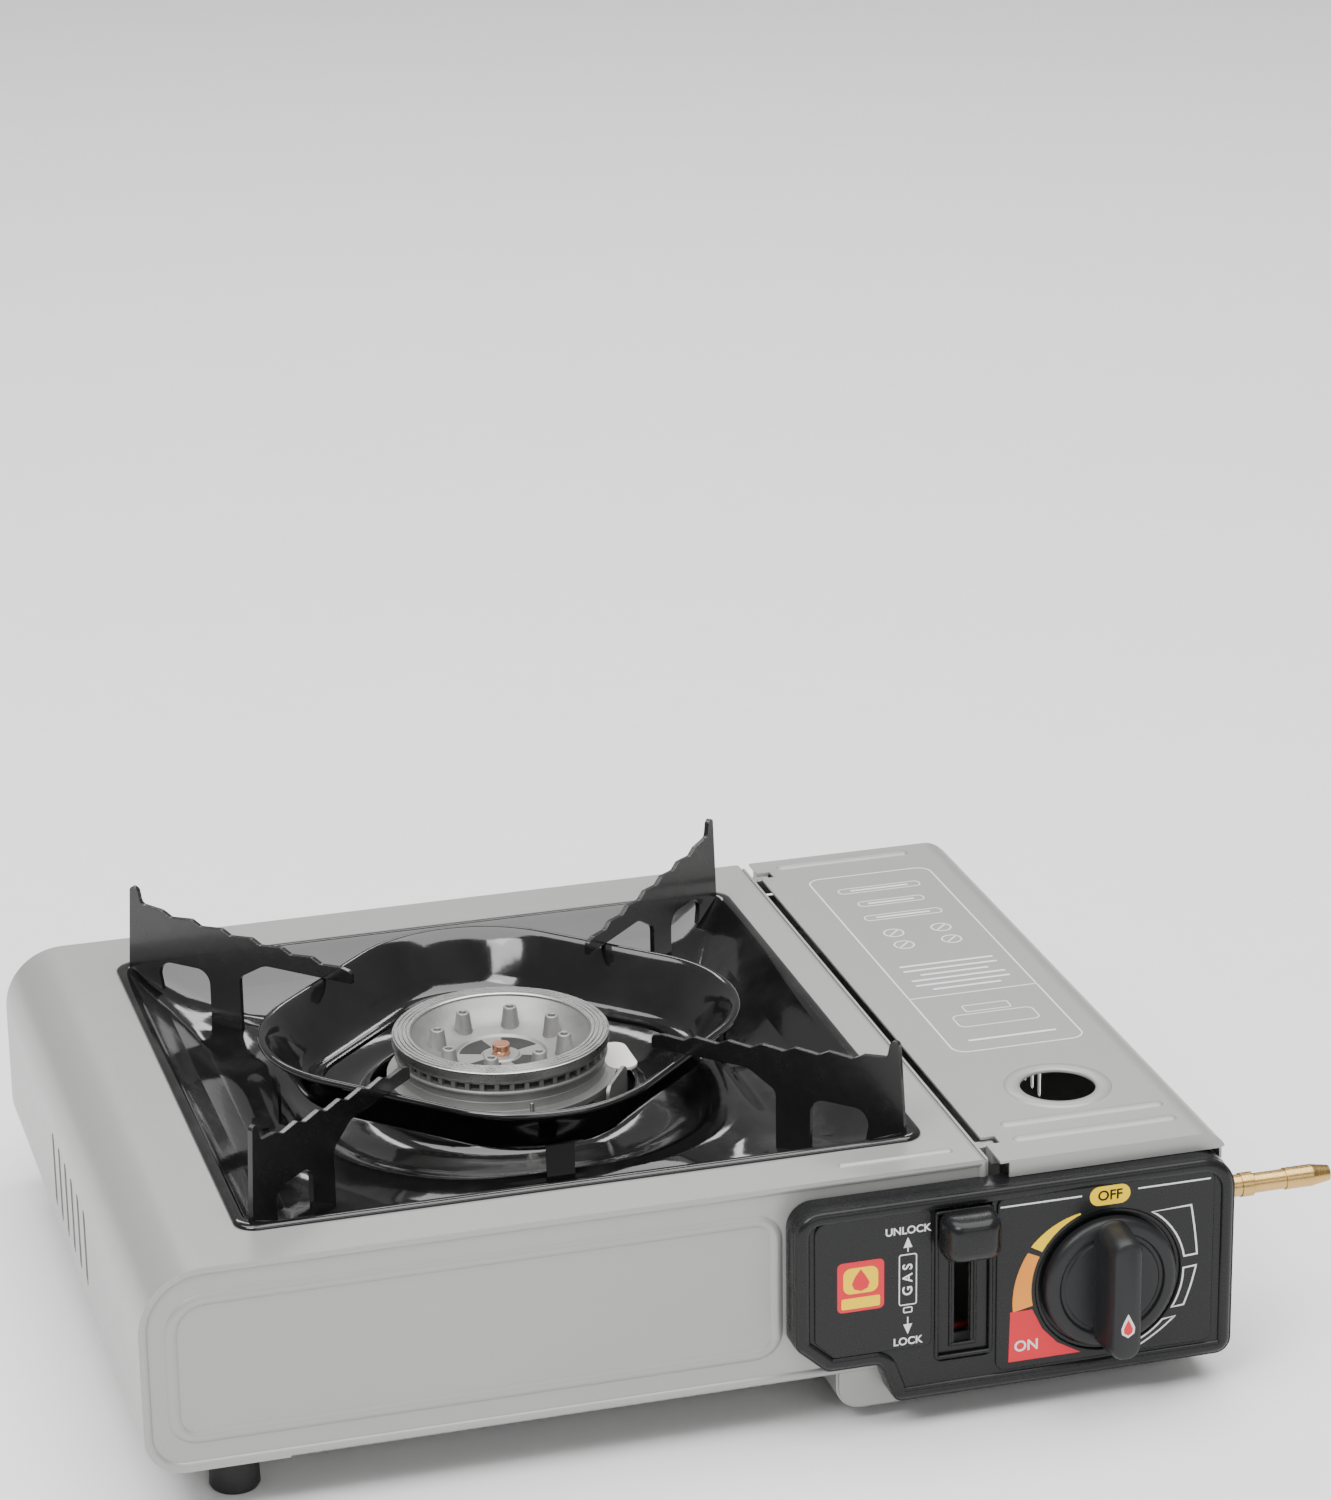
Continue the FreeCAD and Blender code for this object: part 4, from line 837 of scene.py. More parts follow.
class BurnerTrim:
    """Dished cap, turned rim and screw head of the burner."""

    def cap(self, centre: Vector, outer: float, top: float) -> None:
        """Dished casting with posts and side slots; the dark sectors on the dish floor and the band behind the
        slots are painted shade.

        Args:
            centre: Burner's axis.
            outer: Outer radius.
            top: Top of the rim.
        """
        up = Vector((0, 0, 1))
        profile = [(0, -8.4), (5.6, -8.4), (6.2, -8.9), (14.2, -8.9), (15.0, -8.2), (19.5, -7.4),
                   (23.6, -5.8),
                   (26.6, -3.0), (28.9, -0.6), (29.4, -0.6), (29.4, -3.2), (33.6, -3.2), (33.6, -3.9),
                   (32.3, -4.1), (32.3, -6.6), (34.0, -6.8), (34.3, -7.4), (34.0, -8.0), (32.9, -8.3),
                   (32.9, -10.8), (0, -10.8)]
        scale = outer / (34.9 * MM)
        shape = [(r * scale * MM, top + z * MM) for r, z in profile]
        piece = lathe("burner_cap", shape, centre, up, CAST, Body.CASING, steps=96, angle=30)
        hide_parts("burner_head")
        for i in range(8):
            turn = 2 * math.pi * (i + 0.5) / 8
            spot = centre + Vector((math.cos(turn), math.sin(turn), 0)) * 20.6 * MM
            cone = [(3.3, -8.0), (2.9, -6.4), (2.25, -1.4), (2.1, -0.9), (1.7, -0.7), (1.25, -0.8),
                    (1.1, -1.2),
                    (1.1, -5.0), (1.0, -8.0)]
            shape = [(r * MM, top + z * MM) for r, z in cone]
            lathe(f"burner_post_{i}", shape, spot, up, CAST, Body.CASING, steps=28, angle=40)
        # Painted shade: dark sectors laid on the dish floor between the crossbar arms.
        for i, (start, end) in enumerate(((20, 76), (104, 160), (200, 256), (284, 340))):
            sector = [(centre.x + a * MM, centre.y + b * MM) for a,
                      b in arc_band((0, 0), 6.6, 13.6, start, end)]
            plate(f"burner_sector_shade_{i}", sector, level(top - 8.95 * MM), level(top - 8.78 * MM), BURNER_SHADE,
                  Body.CASING)
        # Painted shade: dark band behind the teeth, standing in for the shade inside the gas slots.
        band = [(32.4, -6.55), (32.4, -4.15), (31.4, -4.15), (31.4, -6.55)]
        lathe("burner_slot_shade", [(a * scale * MM, top + b * MM) for a, b in band], centre, up, BURNER_SHADE,
              Body.CASING,
              steps=96, angle=30)
        for i in range(44):
            turn = 2 * math.pi * i / 44
            ahead = Vector((math.cos(turn), math.sin(turn), 0))
            side = Vector((-ahead.y, ahead.x, 0))
            rings = []
            for reach in (31.9, 33.7):
                spots = [centre + ahead * reach * scale * MM + side * a * MM + Vector((0, 0, top + b * MM))
                         for a, b in ((-0.75, -6.7), (0.75, -6.7), (0.75, -4.0), (-0.75, -4.0))]
                rings.append(spots)
            loft(f"burner_tooth_{i}", rings, CAST, Body.CASING, caps="both", angle=30)

    def build(self) -> None:
        """Makes the grooved rim, the centre screw and the electrode's dome."""
        low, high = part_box("burner_head")
        centre = Vector(((low.x + high.x) / 2, (low.y + high.y) / 2, 0))
        outer = (high.x - low.x) / 2
        top = high.z
        profile = [(outer - 6.1 * MM, top - 2.2 * MM), (outer - 6.1 * MM, top + 0.05 * MM)]
        for i in range(4):
            start = outer - (5.6 - 1.4 * i) * MM
            profile += [(start, top + 0.3 * MM), (start + 0.8 * MM, top + 0.3 * MM),
                        (start + 1.0 * MM, top - 0.1 * MM), (start + 1.3 * MM, top - 0.1 * MM)]
        profile += [(outer + 0.1 * MM, top - 0.2 * MM), (outer + 0.1 * MM, top - 3.0 * MM),
                    (outer - 1.4 * MM, top - 4.6 * MM), (outer - 2.6 * MM, top - 3.0 * MM)]
        self.cap(centre, outer, top)
        lathe("burner_rim", profile, centre, Vector((0, 0, 1)), TURNED, Body.CASING, steps=96, angle=20)
        low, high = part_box("burner_screw")
        head = Vector((centre.x, centre.y, top - 8.6 * MM))
        dome = [(1.2 * MM, 2.0 * MM), (0.6 * MM, 2.0 * MM), (0.5 * MM, 2.5 * MM), (1.6 * MM, 2.3 * MM),
                (2.5 * MM, 1.6 * MM), (2.95 * MM, 0.4 * MM), (2.95 * MM, 0), (1.2 * MM, 0)]
        lathe("screw_head", dome, head, Vector((0, 0, 1)), COPPER, Body.CASING, steps=32, angle=40)
        guard = rectangle(centre.x + 33 * MM, centre.x + 43 * MM, centre.y - 12 * MM, centre.y + 9 * MM,
                          4 * MM)
        plate("heat_plate", outline(guard), level(top - 14.6 * MM), level(top - 13.6 * MM), CERAMIC,
              Body.CASING)
        low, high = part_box("electrode_ceramic")
        tip = Vector(((low.x + high.x) / 2, (low.y + high.y) / 2, high.z))
        cap = [(0.75 * MM, -0.4 * MM), (0.75 * MM, 1.4 * MM), (1.4 * MM, 1.1 * MM), (2.1 * MM, 0.2 * MM),
               (2.35 * MM, -0.6 * MM), (2.3 * MM, -3.0 * MM), (2.0 * MM, -3.0 * MM)]
        lathe("electrode_dome", cap, tip, Vector((0, 0, 1)), CERAMIC, Body.CASING, steps=32, angle=40)


class Controls:
    """Control panel, its print, the knob and the lever's grip."""

    def __init__(self) -> None:
        """Reads the panel's and knob's places from the frame."""
        self.low, self.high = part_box("control_panel")
        spindle_low, spindle_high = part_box("valve_spindle")
        self.axis = (spindle_low + spindle_high) / 2
        self.face = self.low.y
        lever_low, lever_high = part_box("lever_grip")
        self.lever = (lever_low + lever_high) / 2
        self.print_back = self.face - 0.72 * MM
        self.print_face = self.face - 0.80 * MM

    def corners(self) -> list[Corner]:
        """Front outline of the panel, from its box.

        Returns:
            The corners, anticlockwise seen from the front.
        """
        x0, x1, z0, z1 = self.low.x, self.high.x, self.low.z, self.high.z
        step = 13.5 * MM
        return [(x0, z0 + step + 9 * MM, 4 * MM), (x0 + 10 * MM, z0 + step, 4 * MM),
                (x0 + 27 * MM, z0 + step, 3 * MM), (x0 + 32 * MM, z0, 3 * MM), (x1, z0, 5 * MM),
                (x1, z1, 11 * MM), (x0, z1, 8 * MM)]

    def bezel(self) -> None:
        """Rounded outer skin and raised rim of the panel."""
        base = self.corners()
        steps = [(-0.2, 8.6), (-0.2, 2.0), (0.1, 0.6), (0.8, -0.5), (1.8, -1.0), (3.0, -1.1), (3.9, -0.9),
                 (4.4, -0.3), (4.6, 0.1), (4.0, 0.6), (1.2, 1.2), (1.2, 8.6)]
        rings = [ring(outline(inset(base, d * MM), arc=7, run=3), front(self.face + y * MM)) for d,
                 y in steps]
        loft("panel_bezel", rings, PLASTIC, Body.CASING, closed=True, angle=50)

    def plates(self) -> None:
        """Raised label plates beside the lever and round the knob."""
        k = self.axis
        right = self.high.x - 7.0 * MM
        left = self.lever.x + 10.5 * MM
        corners = rectangle(left, right, self.low.z + 5.5 * MM, self.high.z - 3.6 * MM, 3 * MM)
        base = outline(corners, arc=10, run=14)
        well = to_circle(base, (k.x, k.z), 23.6 * MM)
        rings = [ring(base, front(self.face + 0.3 * MM)), ring(base, front(self.face - 0.5 * MM)),
                 ring(outline(inset(corners, 0.3 * MM), arc=10, run=14), front(self.face - 0.72 * MM)),
                 ring(to_circle(base, (k.x, k.z), 24.0 * MM), front(self.face - 0.72 * MM)),
                 ring(well, front(self.face - 0.4 * MM)), ring(well, front(self.face + 1.0 * MM))]
        loft("label_plate_right", rings, PLASTIC, Body.CASING, closed=True, angle=30)
        x0, x1 = self.low.x + 6 * MM, self.lever.x - 10.5 * MM
        z0, z1 = self.low.z + 18 * MM, self.high.z - 3.6 * MM
        corners = [(x0, z0 + 6 * MM, 2 * MM), (x0 + 6 * MM, z0, 2 * MM), (x1, z0, 2 * MM), (x1, z1, 2 * MM),
                   (x0, z1, 4 * MM)]
        rings = [ring(outline(corners), front(self.face + 0.3 * MM)),
                 ring(outline(corners), front(self.face - 0.5 * MM)),
                 ring(outline(inset(corners, 0.3 * MM)), front(self.face - 0.72 * MM))]
        loft("label_plate_left", rings, PLASTIC, Body.CASING, caps="both", angle=30)

    def mark(self, name: str, points: list[Point2], finish: Finish, lift: float = 0.0) -> None:
        """Printed patch on the panel, in millimetres from the knob's axis.

        Args:
            name: Piece name.
            points: Outline.
            finish: Ink.
            lift: Extra height over other print.
        """
        k = self.axis
        placed = [(k.x + a * MM, k.z + b * MM) for a, b in points]
        plate(name, placed, front(self.print_back - lift), front(self.print_face - lift), finish, Body.CASING)

    def print_marks(self) -> None:
        """Dial print: off and on marks, flame bands and pictograms."""
        k = self.axis
        mid = self.print_face
        self.mark("mark_off", outline(rectangle(-6.6, 6.6, 25.4, 31.8, 3.15), arc=8, run=2), INK_YELLOW)
        words("word_off", "OFF", Vector((k.x, mid - 0.05 * MM, k.z + 28.5 * MM)), 4.6 * MM, FACING,
              INK_BLACK, Body.CASING)
        self.mark("line_left", [(-35.5, 29.2), (-9.2, 29.2), (-9.2, 29.7), (-35.5, 29.7)], INK_WHITE)
        self.mark("line_right", [(9.2, 29.2), (33.0, 29.2), (33.0, 29.7), (9.2, 29.7)], INK_WHITE)
        self.mark("band_yellow", self.taper(112, 150, 25.2, 0.5, 4.2), INK_YELLOW)
        self.mark("band_orange", self.taper(154, 192, 25.2, 4.2, 6.6), INK_ORANGE)
        on = [(-32.4, -23.5), (-8.8, -23.5), (-16.5, -19.0), (-21.5, -13.5), (-24.8, -6.5), (-32.0, -6.5)]
        self.mark("mark_on", on, INK_RED)
        words("word_on", "ON", Vector((k.x - 26.6 * MM, mid - 0.05 * MM, k.z - 18.6 * MM)), 5.0 * MM, FACING,
              INK_WHITE, Body.CASING)
        bands = (
            ("low", 57, 9, 24.9, ((27.0, 21.6), (28.6, 13.0), (29.4, 4.2))),
            ("mid", 1, -32, 24.4, ((29.2, 0.8), (27.8, -6.4), (25.2, -12.7))),
            ("high", -42, -74, 24.2, ((22.7, -15.8), (16.6, -21.6), (8.6, -25.4))),
        )
        for name, start, end, inner, far in bands:
            self.outline_band(f"band_{name}", start, end, inner, far)

    @staticmethod
    def taper(start: float, end: float, inner: float, first: float, last: float) -> list[Point2]:
        """Band round the knob that widens along its run.

        Args:
            start: First angle in degrees.
            end: Last angle.
            inner: Inner radius.
            first: Width at the first angle.
            last: Width at the last.

        Returns:
            The outline.
        """
        steps = 14
        far, near = [], []
        for i in range(steps):
            t = i / (steps - 1)
            a = math.radians(start + (end - start) * t)
            reach = inner + first + (last - first) * t
            far.append((reach * math.cos(a), reach * math.sin(a)))
            near.append((inner * math.cos(a), inner * math.sin(a)))
        return far + near[::-1]

    def outline_band(self, name: str, start: float, end: float, inner: float,
                     far: tuple[Point2, ...]) -> None:
        """White line round a band on the dial.

        Args:
            name: Piece name.
            start: First angle in degrees.
            end: Last angle.
            inner: Inner radius in millimetres.
            far: Points of its outer side, from the first angle to the last.
        """
        line = 0.55
        near = []
        for i in range(10):
            a = math.radians(start + (end - start) * i / 9)
            near.append(Vector((inner * math.cos(a), inner * math.sin(a))))
        outer = []
        for i in range(9):
            t = 1 - i / 8
            outer.append((1 - t) ** 2 * Vector(far[0]) + 2 * t * (1 - t) * Vector(far[1]) + t * t * Vector(far[2]))
        loop = near + outer
        count = len(loop)
        inside = []
        for i, spot in enumerate(loop):
            first = (spot - loop[i - 1]).normalized()
            second = (loop[(i + 1) % count] - spot).normalized()
            normals = Vector((first.y, -first.x)) + Vector((second.y, -second.x))
            inside.append(spot - normals * (line / max(0.8, 1 + first.dot(second))))
        middle = sum(loop, Vector((0.0, 0.0))) / count
        if (inside[0] - middle).length > (loop[0] - middle).length:
            inside = [2 * spot - moved for spot, moved in zip(loop, inside)]

        def at(points: list[Vector], y: float) -> list[Vector]:
            """Places a band at a depth."""
            return [Vector((self.axis.x + p.x * MM, y, self.axis.z + p.y * MM)) for p in points]

        rings = [at(loop, self.print_back), at(loop, self.print_face),
                 at(inside, self.print_face), at(inside, self.print_back)]
        loft(name, rings, INK_WHITE, Body.CASING, closed=True, angle=30)

    def lever_print(self) -> None:
        """Lock and unlock words, arrows and a cartridge pictogram."""
        k = self.axis
        x = (self.low.x + 35.5 * MM - k.x) / MM
        mid = self.print_face - 0.03 * MM
        for word, z in (("UNLOCK", 26.3), ("LOCK", -11.0)):
            words(f"word_{word.lower()}", word, Vector((k.x + x * MM, mid, k.z + z * MM)), 3.5 * MM, FACING,
                  INK_WHITE, Body.CASING)
        self.mark("arrow_up", [(x - 1.4, 20.6), (x + 1.4, 20.6), (x, 24.0)], INK_WHITE)
        self.mark("arrow_down", [(x, -8.6), (x + 1.4, -5.2), (x - 1.4, -5.2)], INK_WHITE)
        self.mark("arrow_up_line", [(x - 0.2, 19.2), (x + 0.2, 19.2), (x + 0.2, 20.7), (x - 0.2, 20.7)],
                  INK_WHITE)
        self.mark("arrow_down_line", [(x - 0.2, -5.3), (x + 0.2, -5.3), (x + 0.2, -2.8), (x - 0.2, -2.8)],
                  INK_WHITE)
        base, face = self.print_back, self.print_face
        can = rectangle(k.x + (x - 2.9) * MM, k.x + (x + 2.9) * MM, k.z + 1.2 * MM, k.z + 18.4 * MM, 0.8 * MM)
        frame_line("can_outline", can, 0.35 * MM, front, base, face, INK_WHITE, Body.CASING)
        neck = rectangle(k.x + (x - 1.5) * MM, k.x + (x + 1.5) * MM, k.z - 1.4 * MM, k.z + 0.6 * MM, 0.5 * MM)
        frame_line("can_neck", neck, 0.35 * MM, front, base, face, INK_WHITE, Body.CASING)
        spot = Vector((k.x + x * MM, mid, k.z + 9.8 * MM))
        words("word_gas", "G A S", spot, 4.4 * MM, READING_UP, INK_WHITE, Body.CASING)
        self.mark("sign_red", outline(rectangle(x - 22.5, x - 7.6, 1.6, 18.2, 1.6), arc=6, run=2), INK_RED)
        self.mark("sign_yellow", outline(rectangle(x - 20.6, x - 9.5, 7.6, 16.2, 2.4), arc=6, run=2),
                  INK_YELLOW,
                  0.06 * MM)
        self.mark("sign_bar", outline(rectangle(x - 21.2, x - 8.9, 2.6, 6.2, 0.5), arc=4, run=2), INK_YELLOW,
                  0.06 * MM)
        flame = [(0.0, 15.6), (-1.8, 13.2), (-2.8, 11.0), (-2.2, 9.2), (0.0, 8.3), (2.2, 9.2), (2.8, 11.0),
                 (1.5, 13.4)]
        self.mark("sign_flame", [(x - 15.05 + a, b) for a, b in flame], INK_RED, 0.12 * MM)

    def channel(self) -> None:
        """Raised lips beside the lever's slot."""
        x, z0, z1 = self.lever.x, self.low.z + 12 * MM, self.high.z - 5 * MM
        corners = rectangle(x - 9.6 * MM, x + 9.6 * MM, z0, z1, 1.5 * MM)
        bead("lever_channel", corners, 1.6 * MM, front, self.face, -0.9 * MM, PLASTIC, Body.CASING)
        slot = rectangle(x - 4.6 * MM, x + 4.6 * MM, z0 + 3.5 * MM, z1 - 4 * MM, 0.8 * MM)
        bead("slot_lip", slot, 1.2 * MM, front, self.face + 1.0 * MM, -0.7 * MM, PLASTIC, Body.CASING)

    def knob(self) -> None:
        """Knob: ringed disc, grip bar with a dished top and a flame mark."""
        low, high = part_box("knob")
        k, back = self.axis, high.y - 3.6 * MM
        disc = low.y + 13.5 * MM
        radius = (high.x - low.x) / 2
        at = Vector((k.x, disc, k.z))
        profile = [(0, 0.4), (15.0, 0.4), (15.6, 0.9), (16.6, 0.9), (17.2, 0.1), (19.4, -0.1), (20.6, 0.3),
                   (21.4, 1.3), (21.5, 2.2), (21.5, 3.9), (20.9, 4.2), (6.8, 4.2), (6.8, 5.2), (0, 5.2)]
        piece = lathe("knob_disc", [(r * MM, h * MM) for r, h in profile], at, Vector((0, 1, 0)),
                      SATIN_PLASTIC,
                      Body.KNOB, steps=96, angle=35)
        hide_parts("knob")
        steps = [(-0.6, 0.6), (-0.2, 0.0), (0.0, -2.0), (0.35, -8.5), (0.7, -11.2), (1.5, -12.7),
                 (2.7, -13.3)]
        rings = []
        for shrink, y in steps:
            half = 5.7 - shrink
            reach = 20.9 - shrink
            corners = rectangle(k.x - half * MM, k.x + half * MM, k.z - reach * MM, k.z + reach * MM,
                                (half - 0.3) * MM)
            rings.append(ring(outline(corners, arc=10, run=8), front(disc + y * MM)))
        loft("knob_grip", rings, SATIN_PLASTIC, Body.KNOB, caps="both", angle=35)
        tip = disc - 13.3 * MM
        flame = [(0.0, 4.6), (-1.3, 2.2), (-2.2, 0.0), (-2.0, -2.0), (0.0, -3.4), (2.0, -2.0), (2.2, 0.0),
                 (1.1, 2.4)]
        low_mark = k.z - 8.4 * MM
        placed = [(k.x + a * MM, low_mark + b * MM) for a, b in flame]
        plate("knob_badge", placed, front(tip + 0.1 * MM), front(tip - 0.12 * MM), INK_WHITE, Body.KNOB)
        placed = [(k.x + a * 0.66 * MM, low_mark + (b * 0.66 - 0.3) * MM) for a, b in flame]
        plate("knob_flame", placed, front(tip - 0.10 * MM), front(tip - 0.2 * MM), INK_RED, Body.KNOB)

    def grip(self) -> None:
        """Lever's grip: rounded finger block with a raised brow."""
        low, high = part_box("lever_grip")
        steps = [(0.8, 0.0), (0.0, -1.4), (0.0, -5.6), (0.8, -8.6), (2.2, -10.6), (4.2, -11.4)]
        rings = []
        for shrink, y in steps:
            d = shrink * MM
            corners = rectangle(low.x + d, high.x - d, low.z + d, high.z - d * 0.5, 3.2 * MM)
            rings.append(ring(outline(corners, arc=8, run=4), front(high.y + y * MM)))
        piece = loft("grip_block", rings, PLASTIC, Body.LEVER, caps="both", angle=40)
        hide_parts("lever_grip")

    def build(self) -> None:
        """Makes the group."""
        self.bezel()
        self.plates()
        self.channel()
        self.print_marks()
        self.lever_print()
        self.knob()
        self.grip()


class CasingTrim:
    """Pressed beads, rolled edges and the lid's print."""

    def __init__(self) -> None:
        """Reads the casing's and lid's boxes."""
        self.low, self.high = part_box("top_casing")
        self.lid_low, self.lid_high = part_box("lid")

    def edges(self) -> None:
        """Rolled front and rear edges of the folded cover."""
        lo, hi = self.low, self.high
        corners = [(lo.x, lo.z, 12.5 * MM), (hi.x, lo.z, 1 * MM), (hi.x, hi.z, 2 * MM), (lo.x, hi.z, 20 * MM)]
        steps = [(0.03, 3.4), (0.03, 1.6), (0.2, 0.5), (0.8, 0.0), (1.7, 0.05), (2.5, 0.5), (2.9, 1.1),
                 (2.6, 1.6),
                 (1.0, 1.8), (0.9, 3.4)]
        for name, edge, sign in (("front_edge", lo.y, 1), ("rear_edge", hi.y, -1)):
            rings = [ring(outline(inset(corners, d * MM), arc=12, run=6),
                          front(edge + sign * y * MM)) for d, y in steps]
            loft(name, rings, SILVER, Body.CASING, closed=True, angle=60)

    def panel_bead(self) -> None:
        """Raised border of the front and rear panels."""
        lo, hi = self.low, self.high
        corners = [(lo.x + 7.5 * MM, lo.z + 8.5 * MM, 9 * MM), (lo.x + 197 * MM, lo.z + 8.5 * MM, 9 * MM),
                   (lo.x + 197 * MM, hi.z - 8.5 * MM, 9 * MM), (lo.x + 7.5 * MM, hi.z - 8.5 * MM, 13 * MM)]
        bead("front_bead", corners, 4.2 * MM, front, lo.y + 1.0 * MM, -1.0 * MM, SILVER, Body.CASING)
        corners = [(lo.x + 12 * MM, lo.z + 8.5 * MM, 9 * MM), (hi.x - 12 * MM, lo.z + 8.5 * MM, 9 * MM),
                   (hi.x - 12 * MM, hi.z - 8.5 * MM, 9 * MM), (lo.x + 12 * MM, hi.z - 8.5 * MM, 13 * MM)]
        bead("rear_bead", corners, 4.2 * MM, front, hi.y - 1.0 * MM, 1.0 * MM, SILVER, Body.CASING)

    def rib(self, name: str, x0: float, x1: float, y: float, z: float, width: float, body: Body) -> None:
        """Straight pressed rib along X.

        Args:
            name: Piece name.
            x0: Low end.
            x1: High end.
            y: Its middle.
            z: Surface it stands on.
            width: Its width.
            body: Body it rides on.
        """
        rings = []
        for shrink, rise in ((0.0, -0.2), (0.05, 0.02), (0.3, 0.35), (0.62, 0.62), (0.9, 0.72)):
            d = shrink * width / 2
            corners = rectangle(x0 + d, x1 - d, y - width / 2 + d, y + width / 2 - d,
                                width / 2 - d - 0.05 * MM)
            rings.append(ring(outline(corners, arc=8, run=6), level(z + rise * MM)))
        loft(name, rings, SILVER, body, caps="both", angle=60)

    def lid_details(self) -> None:
        """Ribs, dished ring and printed panel of the lid."""
        lo, hi = self.lid_low, self.lid_high
        for name, away, width in (("lid_rib_1", 14, 4.5), ("lid_rib_2", 25, 4.5)):
            self.rib(name, lo.x + 9 * MM, hi.x - 12 * MM, lo.y + away * MM, hi.z, width * MM, Body.LID)
        self.rib("lid_rib_rear", lo.x + 8 * MM, hi.x - 18 * MM, hi.y - 7 * MM, hi.z, 4.5 * MM, Body.LID)
        centre = Vector((lo.x + 36.4 * MM, lo.y + 47.5 * MM, hi.z))
        profile = [(11.95, -0.8), (11.95, -0.05), (12.3, 0.25), (13.2, 0.5), (14.6, 0.62), (16.0, 0.5),
                   (17.0, 0.15),
                   (17.3, -0.2), (15.0, -0.3), (12.6, -0.8)]
        lathe("lid_hole_ring", [(r * MM, h * MM) for r, h in profile], centre, Vector((0, 0, 1)), SILVER,
              Body.LID,
              steps=72, angle=60)
        self.lid_print(centre)

    def lid_print(self, hole: Vector) -> None:
        """Printed frame with plain signs on the lid.

        Args:
            hole: Centre of the finger hole.
        """
        lo, hi = self.lid_low, self.lid_high
        z0, z1 = hi.z - 0.02 * MM, hi.z + 0.06 * MM
        x0, x1 = lo.x + 14 * MM, hi.x - 16 * MM
        y0, y1 = hole.y + 33 * MM, hi.y - 22 * MM
        split = y0 + 46 * MM
        frame_line("lid_frame", rectangle(x0, x1, y0, y1, 5 * MM), 0.5 * MM, level, z0, z1, INK_GREY,
                   Body.LID)
        line = [(x0, split), (x1, split), (x1, split + 0.5 * MM), (x0, split + 0.5 * MM)]
        plate("lid_divider", line, level(z0), level(z1), INK_GREY, Body.LID)
        middle = (x0 + x1) / 2
        for i, width in enumerate((15, 12, 14)):
            y = y1 - (14 + 13 * i) * MM
            box = rectangle(middle - width * MM, middle + width * MM, y - 2.4 * MM, y + 2.4 * MM, 2 * MM)
            frame_line(f"lid_sign_{i}", box, 0.4 * MM, level, z0, z1, INK_GREY, Body.LID)
            bar = outline(rectangle(middle - width * 0.7 * MM, middle + width * 0.7 * MM, y - 0.5 * MM,
                                    y + 0.5 * MM, 0.4 * MM),
                          arc=4, run=1)
            plate(f"lid_sign_bar_{i}", bar, level(z0), level(z1), INK_GREY, Body.LID)
        for i in range(4):
            x = middle + (i % 2 - 0.5) * 17 * MM
            y = y1 - (55 + 11 * (i // 2)) * MM
            spot = Vector((x, y, 0))
            circle = [(3.6 * MM, z0), (3.6 * MM, z1), (3.1 * MM, z1), (3.1 * MM, z0)]
            lathe(f"lid_mark_{i}", circle, spot, Vector((0, 0, 1)), INK_GREY, Body.LID, steps=32, angle=30)
            cross = [(x - 2.6 * MM, y - 2.2 * MM), (x - 2.2 * MM, y - 2.6 * MM),
                     (x + 2.6 * MM, y + 2.2 * MM), (x + 2.2 * MM, y + 2.6 * MM)]
            plate(f"lid_mark_bar_{i}", cross, level(z0), level(z1), INK_GREY, Body.LID)
        for i in range(6):
            y = split + (6 + 4.2 * i) * MM
            reach = (16.5 if i % 3 else 12.0) * MM
            dash = outline(rectangle(middle - reach, middle + reach, y - 0.55 * MM, y + 0.55 * MM,
                                     0.4 * MM), arc=4, run=1)
            plate(f"lid_text_{i}", dash, level(z0), level(z1), INK_GREY, Body.LID)
        y = y0 + 24 * MM
        frame_line("lid_stove_sign",
                   rectangle(middle - 14 * MM, middle + 14 * MM, y - 5 * MM, y + 5 * MM, 2.5 * MM), 0.4 * MM,
                   level, z0, z1, INK_GREY, Body.LID)
        frame_line("lid_pan_sign",
                   rectangle(middle - 8 * MM, middle + 8 * MM, y + 6.5 * MM, y + 12 * MM, 1 * MM), 0.4 * MM,
                   level, z0, z1, INK_GREY, Body.LID)
        dash = outline(rectangle(middle - 15 * MM, middle + 15 * MM, y0 + 8 * MM, y0 + 9.1 * MM, 0.4 * MM),
                       arc=4, run=1)
        plate("lid_text_low", dash, level(z0), level(z1), INK_GREY, Body.LID)

    def build(self) -> None:
        """Makes the group."""
        self.edges()
        self.panel_bead()
        self.lid_details()
        self.rib("top_rib_1", self.high.x - 45 * MM, self.high.x - 8 * MM, self.low.y + 9 * MM, self.high.z,
                 3.2 * MM,
                 Body.CASING)


NODE_FINISHES: dict[Finish, tuple[str, ...]] = {
    SILVER: ("top_casing", "front_panel", "rear_panel", "base_pan", "compartment_pan", "divider_wall", "lid"),
    ENAMEL: ("drip_tray", "wind_ring", "ring_tabs"),
    ENAMEL_PLATE: ("support_back_right", "support_back_left", "support_front_left", "support_front_right"),
    CAST: ("burner_body", "burner_head", "regulator_body", "heat_strip"),
    BRASS: ("hose_nozzle", "jet_nozzle"),
    COPPER: ("burner_screw",),
    PLASTIC: ("control_panel", "lever_grip", "piezo_body"),
    SATIN_PLASTIC: ("knob", "piezo_plunger", "ignition_cam"),
    STEEL: ("lid_hinge_pins", "mixing_tube", "electrode_bracket", "electrode_wire", "collar_guide",
            "valve_spindle",
            "lever_arm", "lever_bracket", "lever_pivot_pin", "pusher_slide", "pusher_guides", "base_screws",
            "panel_screws"),
    CERAMIC: ("electrode_ceramic",),
    CABLE: ("ignition_lead",),
    RUBBER: ("feet_left", "feet_right"),
}


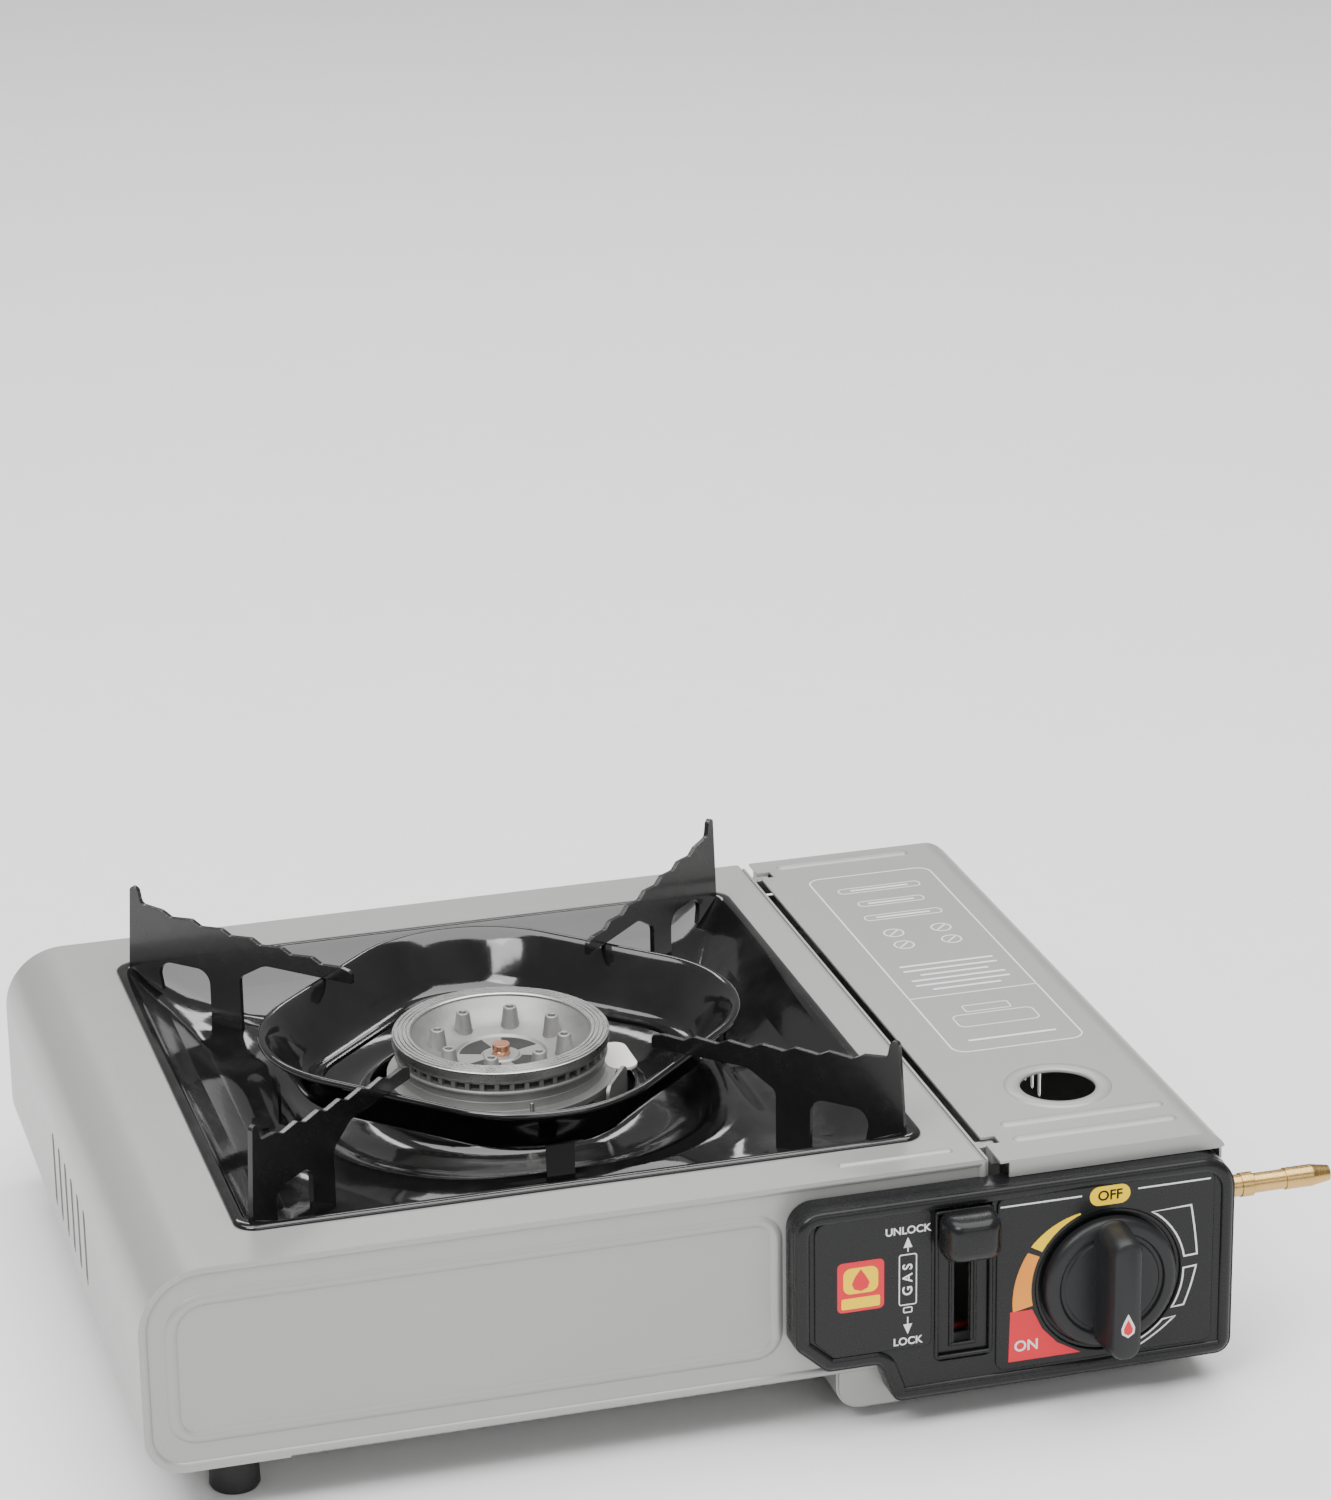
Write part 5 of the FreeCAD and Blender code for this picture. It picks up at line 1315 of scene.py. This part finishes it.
# ------------------------------------------------------------------ stage
@dataclass(frozen=True)
class CameraSetup:
    """Camera place and lens.

    Args:
        azimuth: Turn of the view about +Z, in degrees from +Y towards +X.
        elevation: Degrees that the view looks down.
        roll: Degrees about the view.
        place: Camera position.
        lens: Focal length in millimetres on a sensor 36 mm long.
    """

    azimuth: float = 15.814
    elevation: float = 20.047
    roll: float = -0.866
    place: tuple[float, float, float] = (-0.3703, -1.3229, 0.6857)
    lens: float = 111.4


def make_camera(setup: CameraSetup) -> None:
    """Adds the camera.

    Args:
        setup: Its place and lens.
    """
    bpy.ops.object.camera_add(location=setup.place)
    camera = bpy.context.object
    a, e = math.radians(setup.azimuth), math.radians(setup.elevation)
    ahead = Vector((math.sin(a) * math.cos(e), math.cos(a) * math.cos(e), -math.sin(e)))
    turn = ahead.to_track_quat("-Z", "Y") @ Quaternion((0, 0, 1), math.radians(setup.roll))
    camera.rotation_euler = turn.to_euler()
    camera.data.sensor_width = 36.0
    camera.data.lens = setup.lens
    camera.data.clip_start = 0.01
    bpy.context.scene.camera = camera


def make_light(name: str, place: tuple[float, float, float], size: tuple[float, float], power: float) -> None:
    """Adds a soft box aimed at the object.

    Args:
        name: Its name.
        place: Its position.
        size: Width and height.
        power: Watts.
    """
    bpy.ops.object.light_add(type="AREA", location=place)
    light = bpy.context.object
    light.name = name
    light.data.shape = "RECTANGLE"
    light.data.size, light.data.size_y = size
    light.data.energy = power
    light.rotation_euler = (Vector((0, 0, 0.05)) - Vector(place)).to_track_quat("-Z", "Y").to_euler()


def make_stage() -> None:
    """Pale floor, even surroundings and soft boxes."""
    bpy.ops.object.select_all(action="DESELECT")
    bpy.ops.mesh.primitive_plane_add(size=14, location=(0, 0, 0))
    floor = bpy.context.object
    floor.name = "floor"
    floor.data.materials.append(PAINT.get(FLOOR_FINISH))
    world = bpy.data.worlds.new("studio")
    world.use_nodes = True
    world.node_tree.nodes["Background"].inputs["Color"].default_value = (1.0, 1.0, 1.0, 1.0)
    world.node_tree.nodes["Background"].inputs["Strength"].default_value = 0.30
    bpy.context.scene.world = world
    make_light("dome", (0.0, -0.2, 2.8), (3.6, 3.2), 190)
    make_light("key", (-1.1, -0.9, 1.5), (0.9, 0.6), 20)
    make_light("front", (0.4, -2.6, 1.2), (2.2, 0.9), 16)
    make_light("strip", (0.3, 1.9, 1.5), (1.6, 0.25), 9)


PAINT = Materials()


def main() -> None:
    """Builds every piece."""
    logging.basicConfig(level=logging.INFO, format="%(name)s %(message)s")
    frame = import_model()
    for finish, names in NODE_FINISHES.items():
        for name in names:
            node = frame["nodes"][name]
            node.data.materials.clear()
            node.data.materials.append(PAINT.get(finish))
            log.info("%s keeps its CAD shape, finished as %s", name, finish.name)
    TrayGroup().build()
    BurnerTrim().build()
    Controls().build()
    CasingTrim().build()
    make_stage()
    make_camera(CameraSetup())


if __name__ == "__main__":
    main()
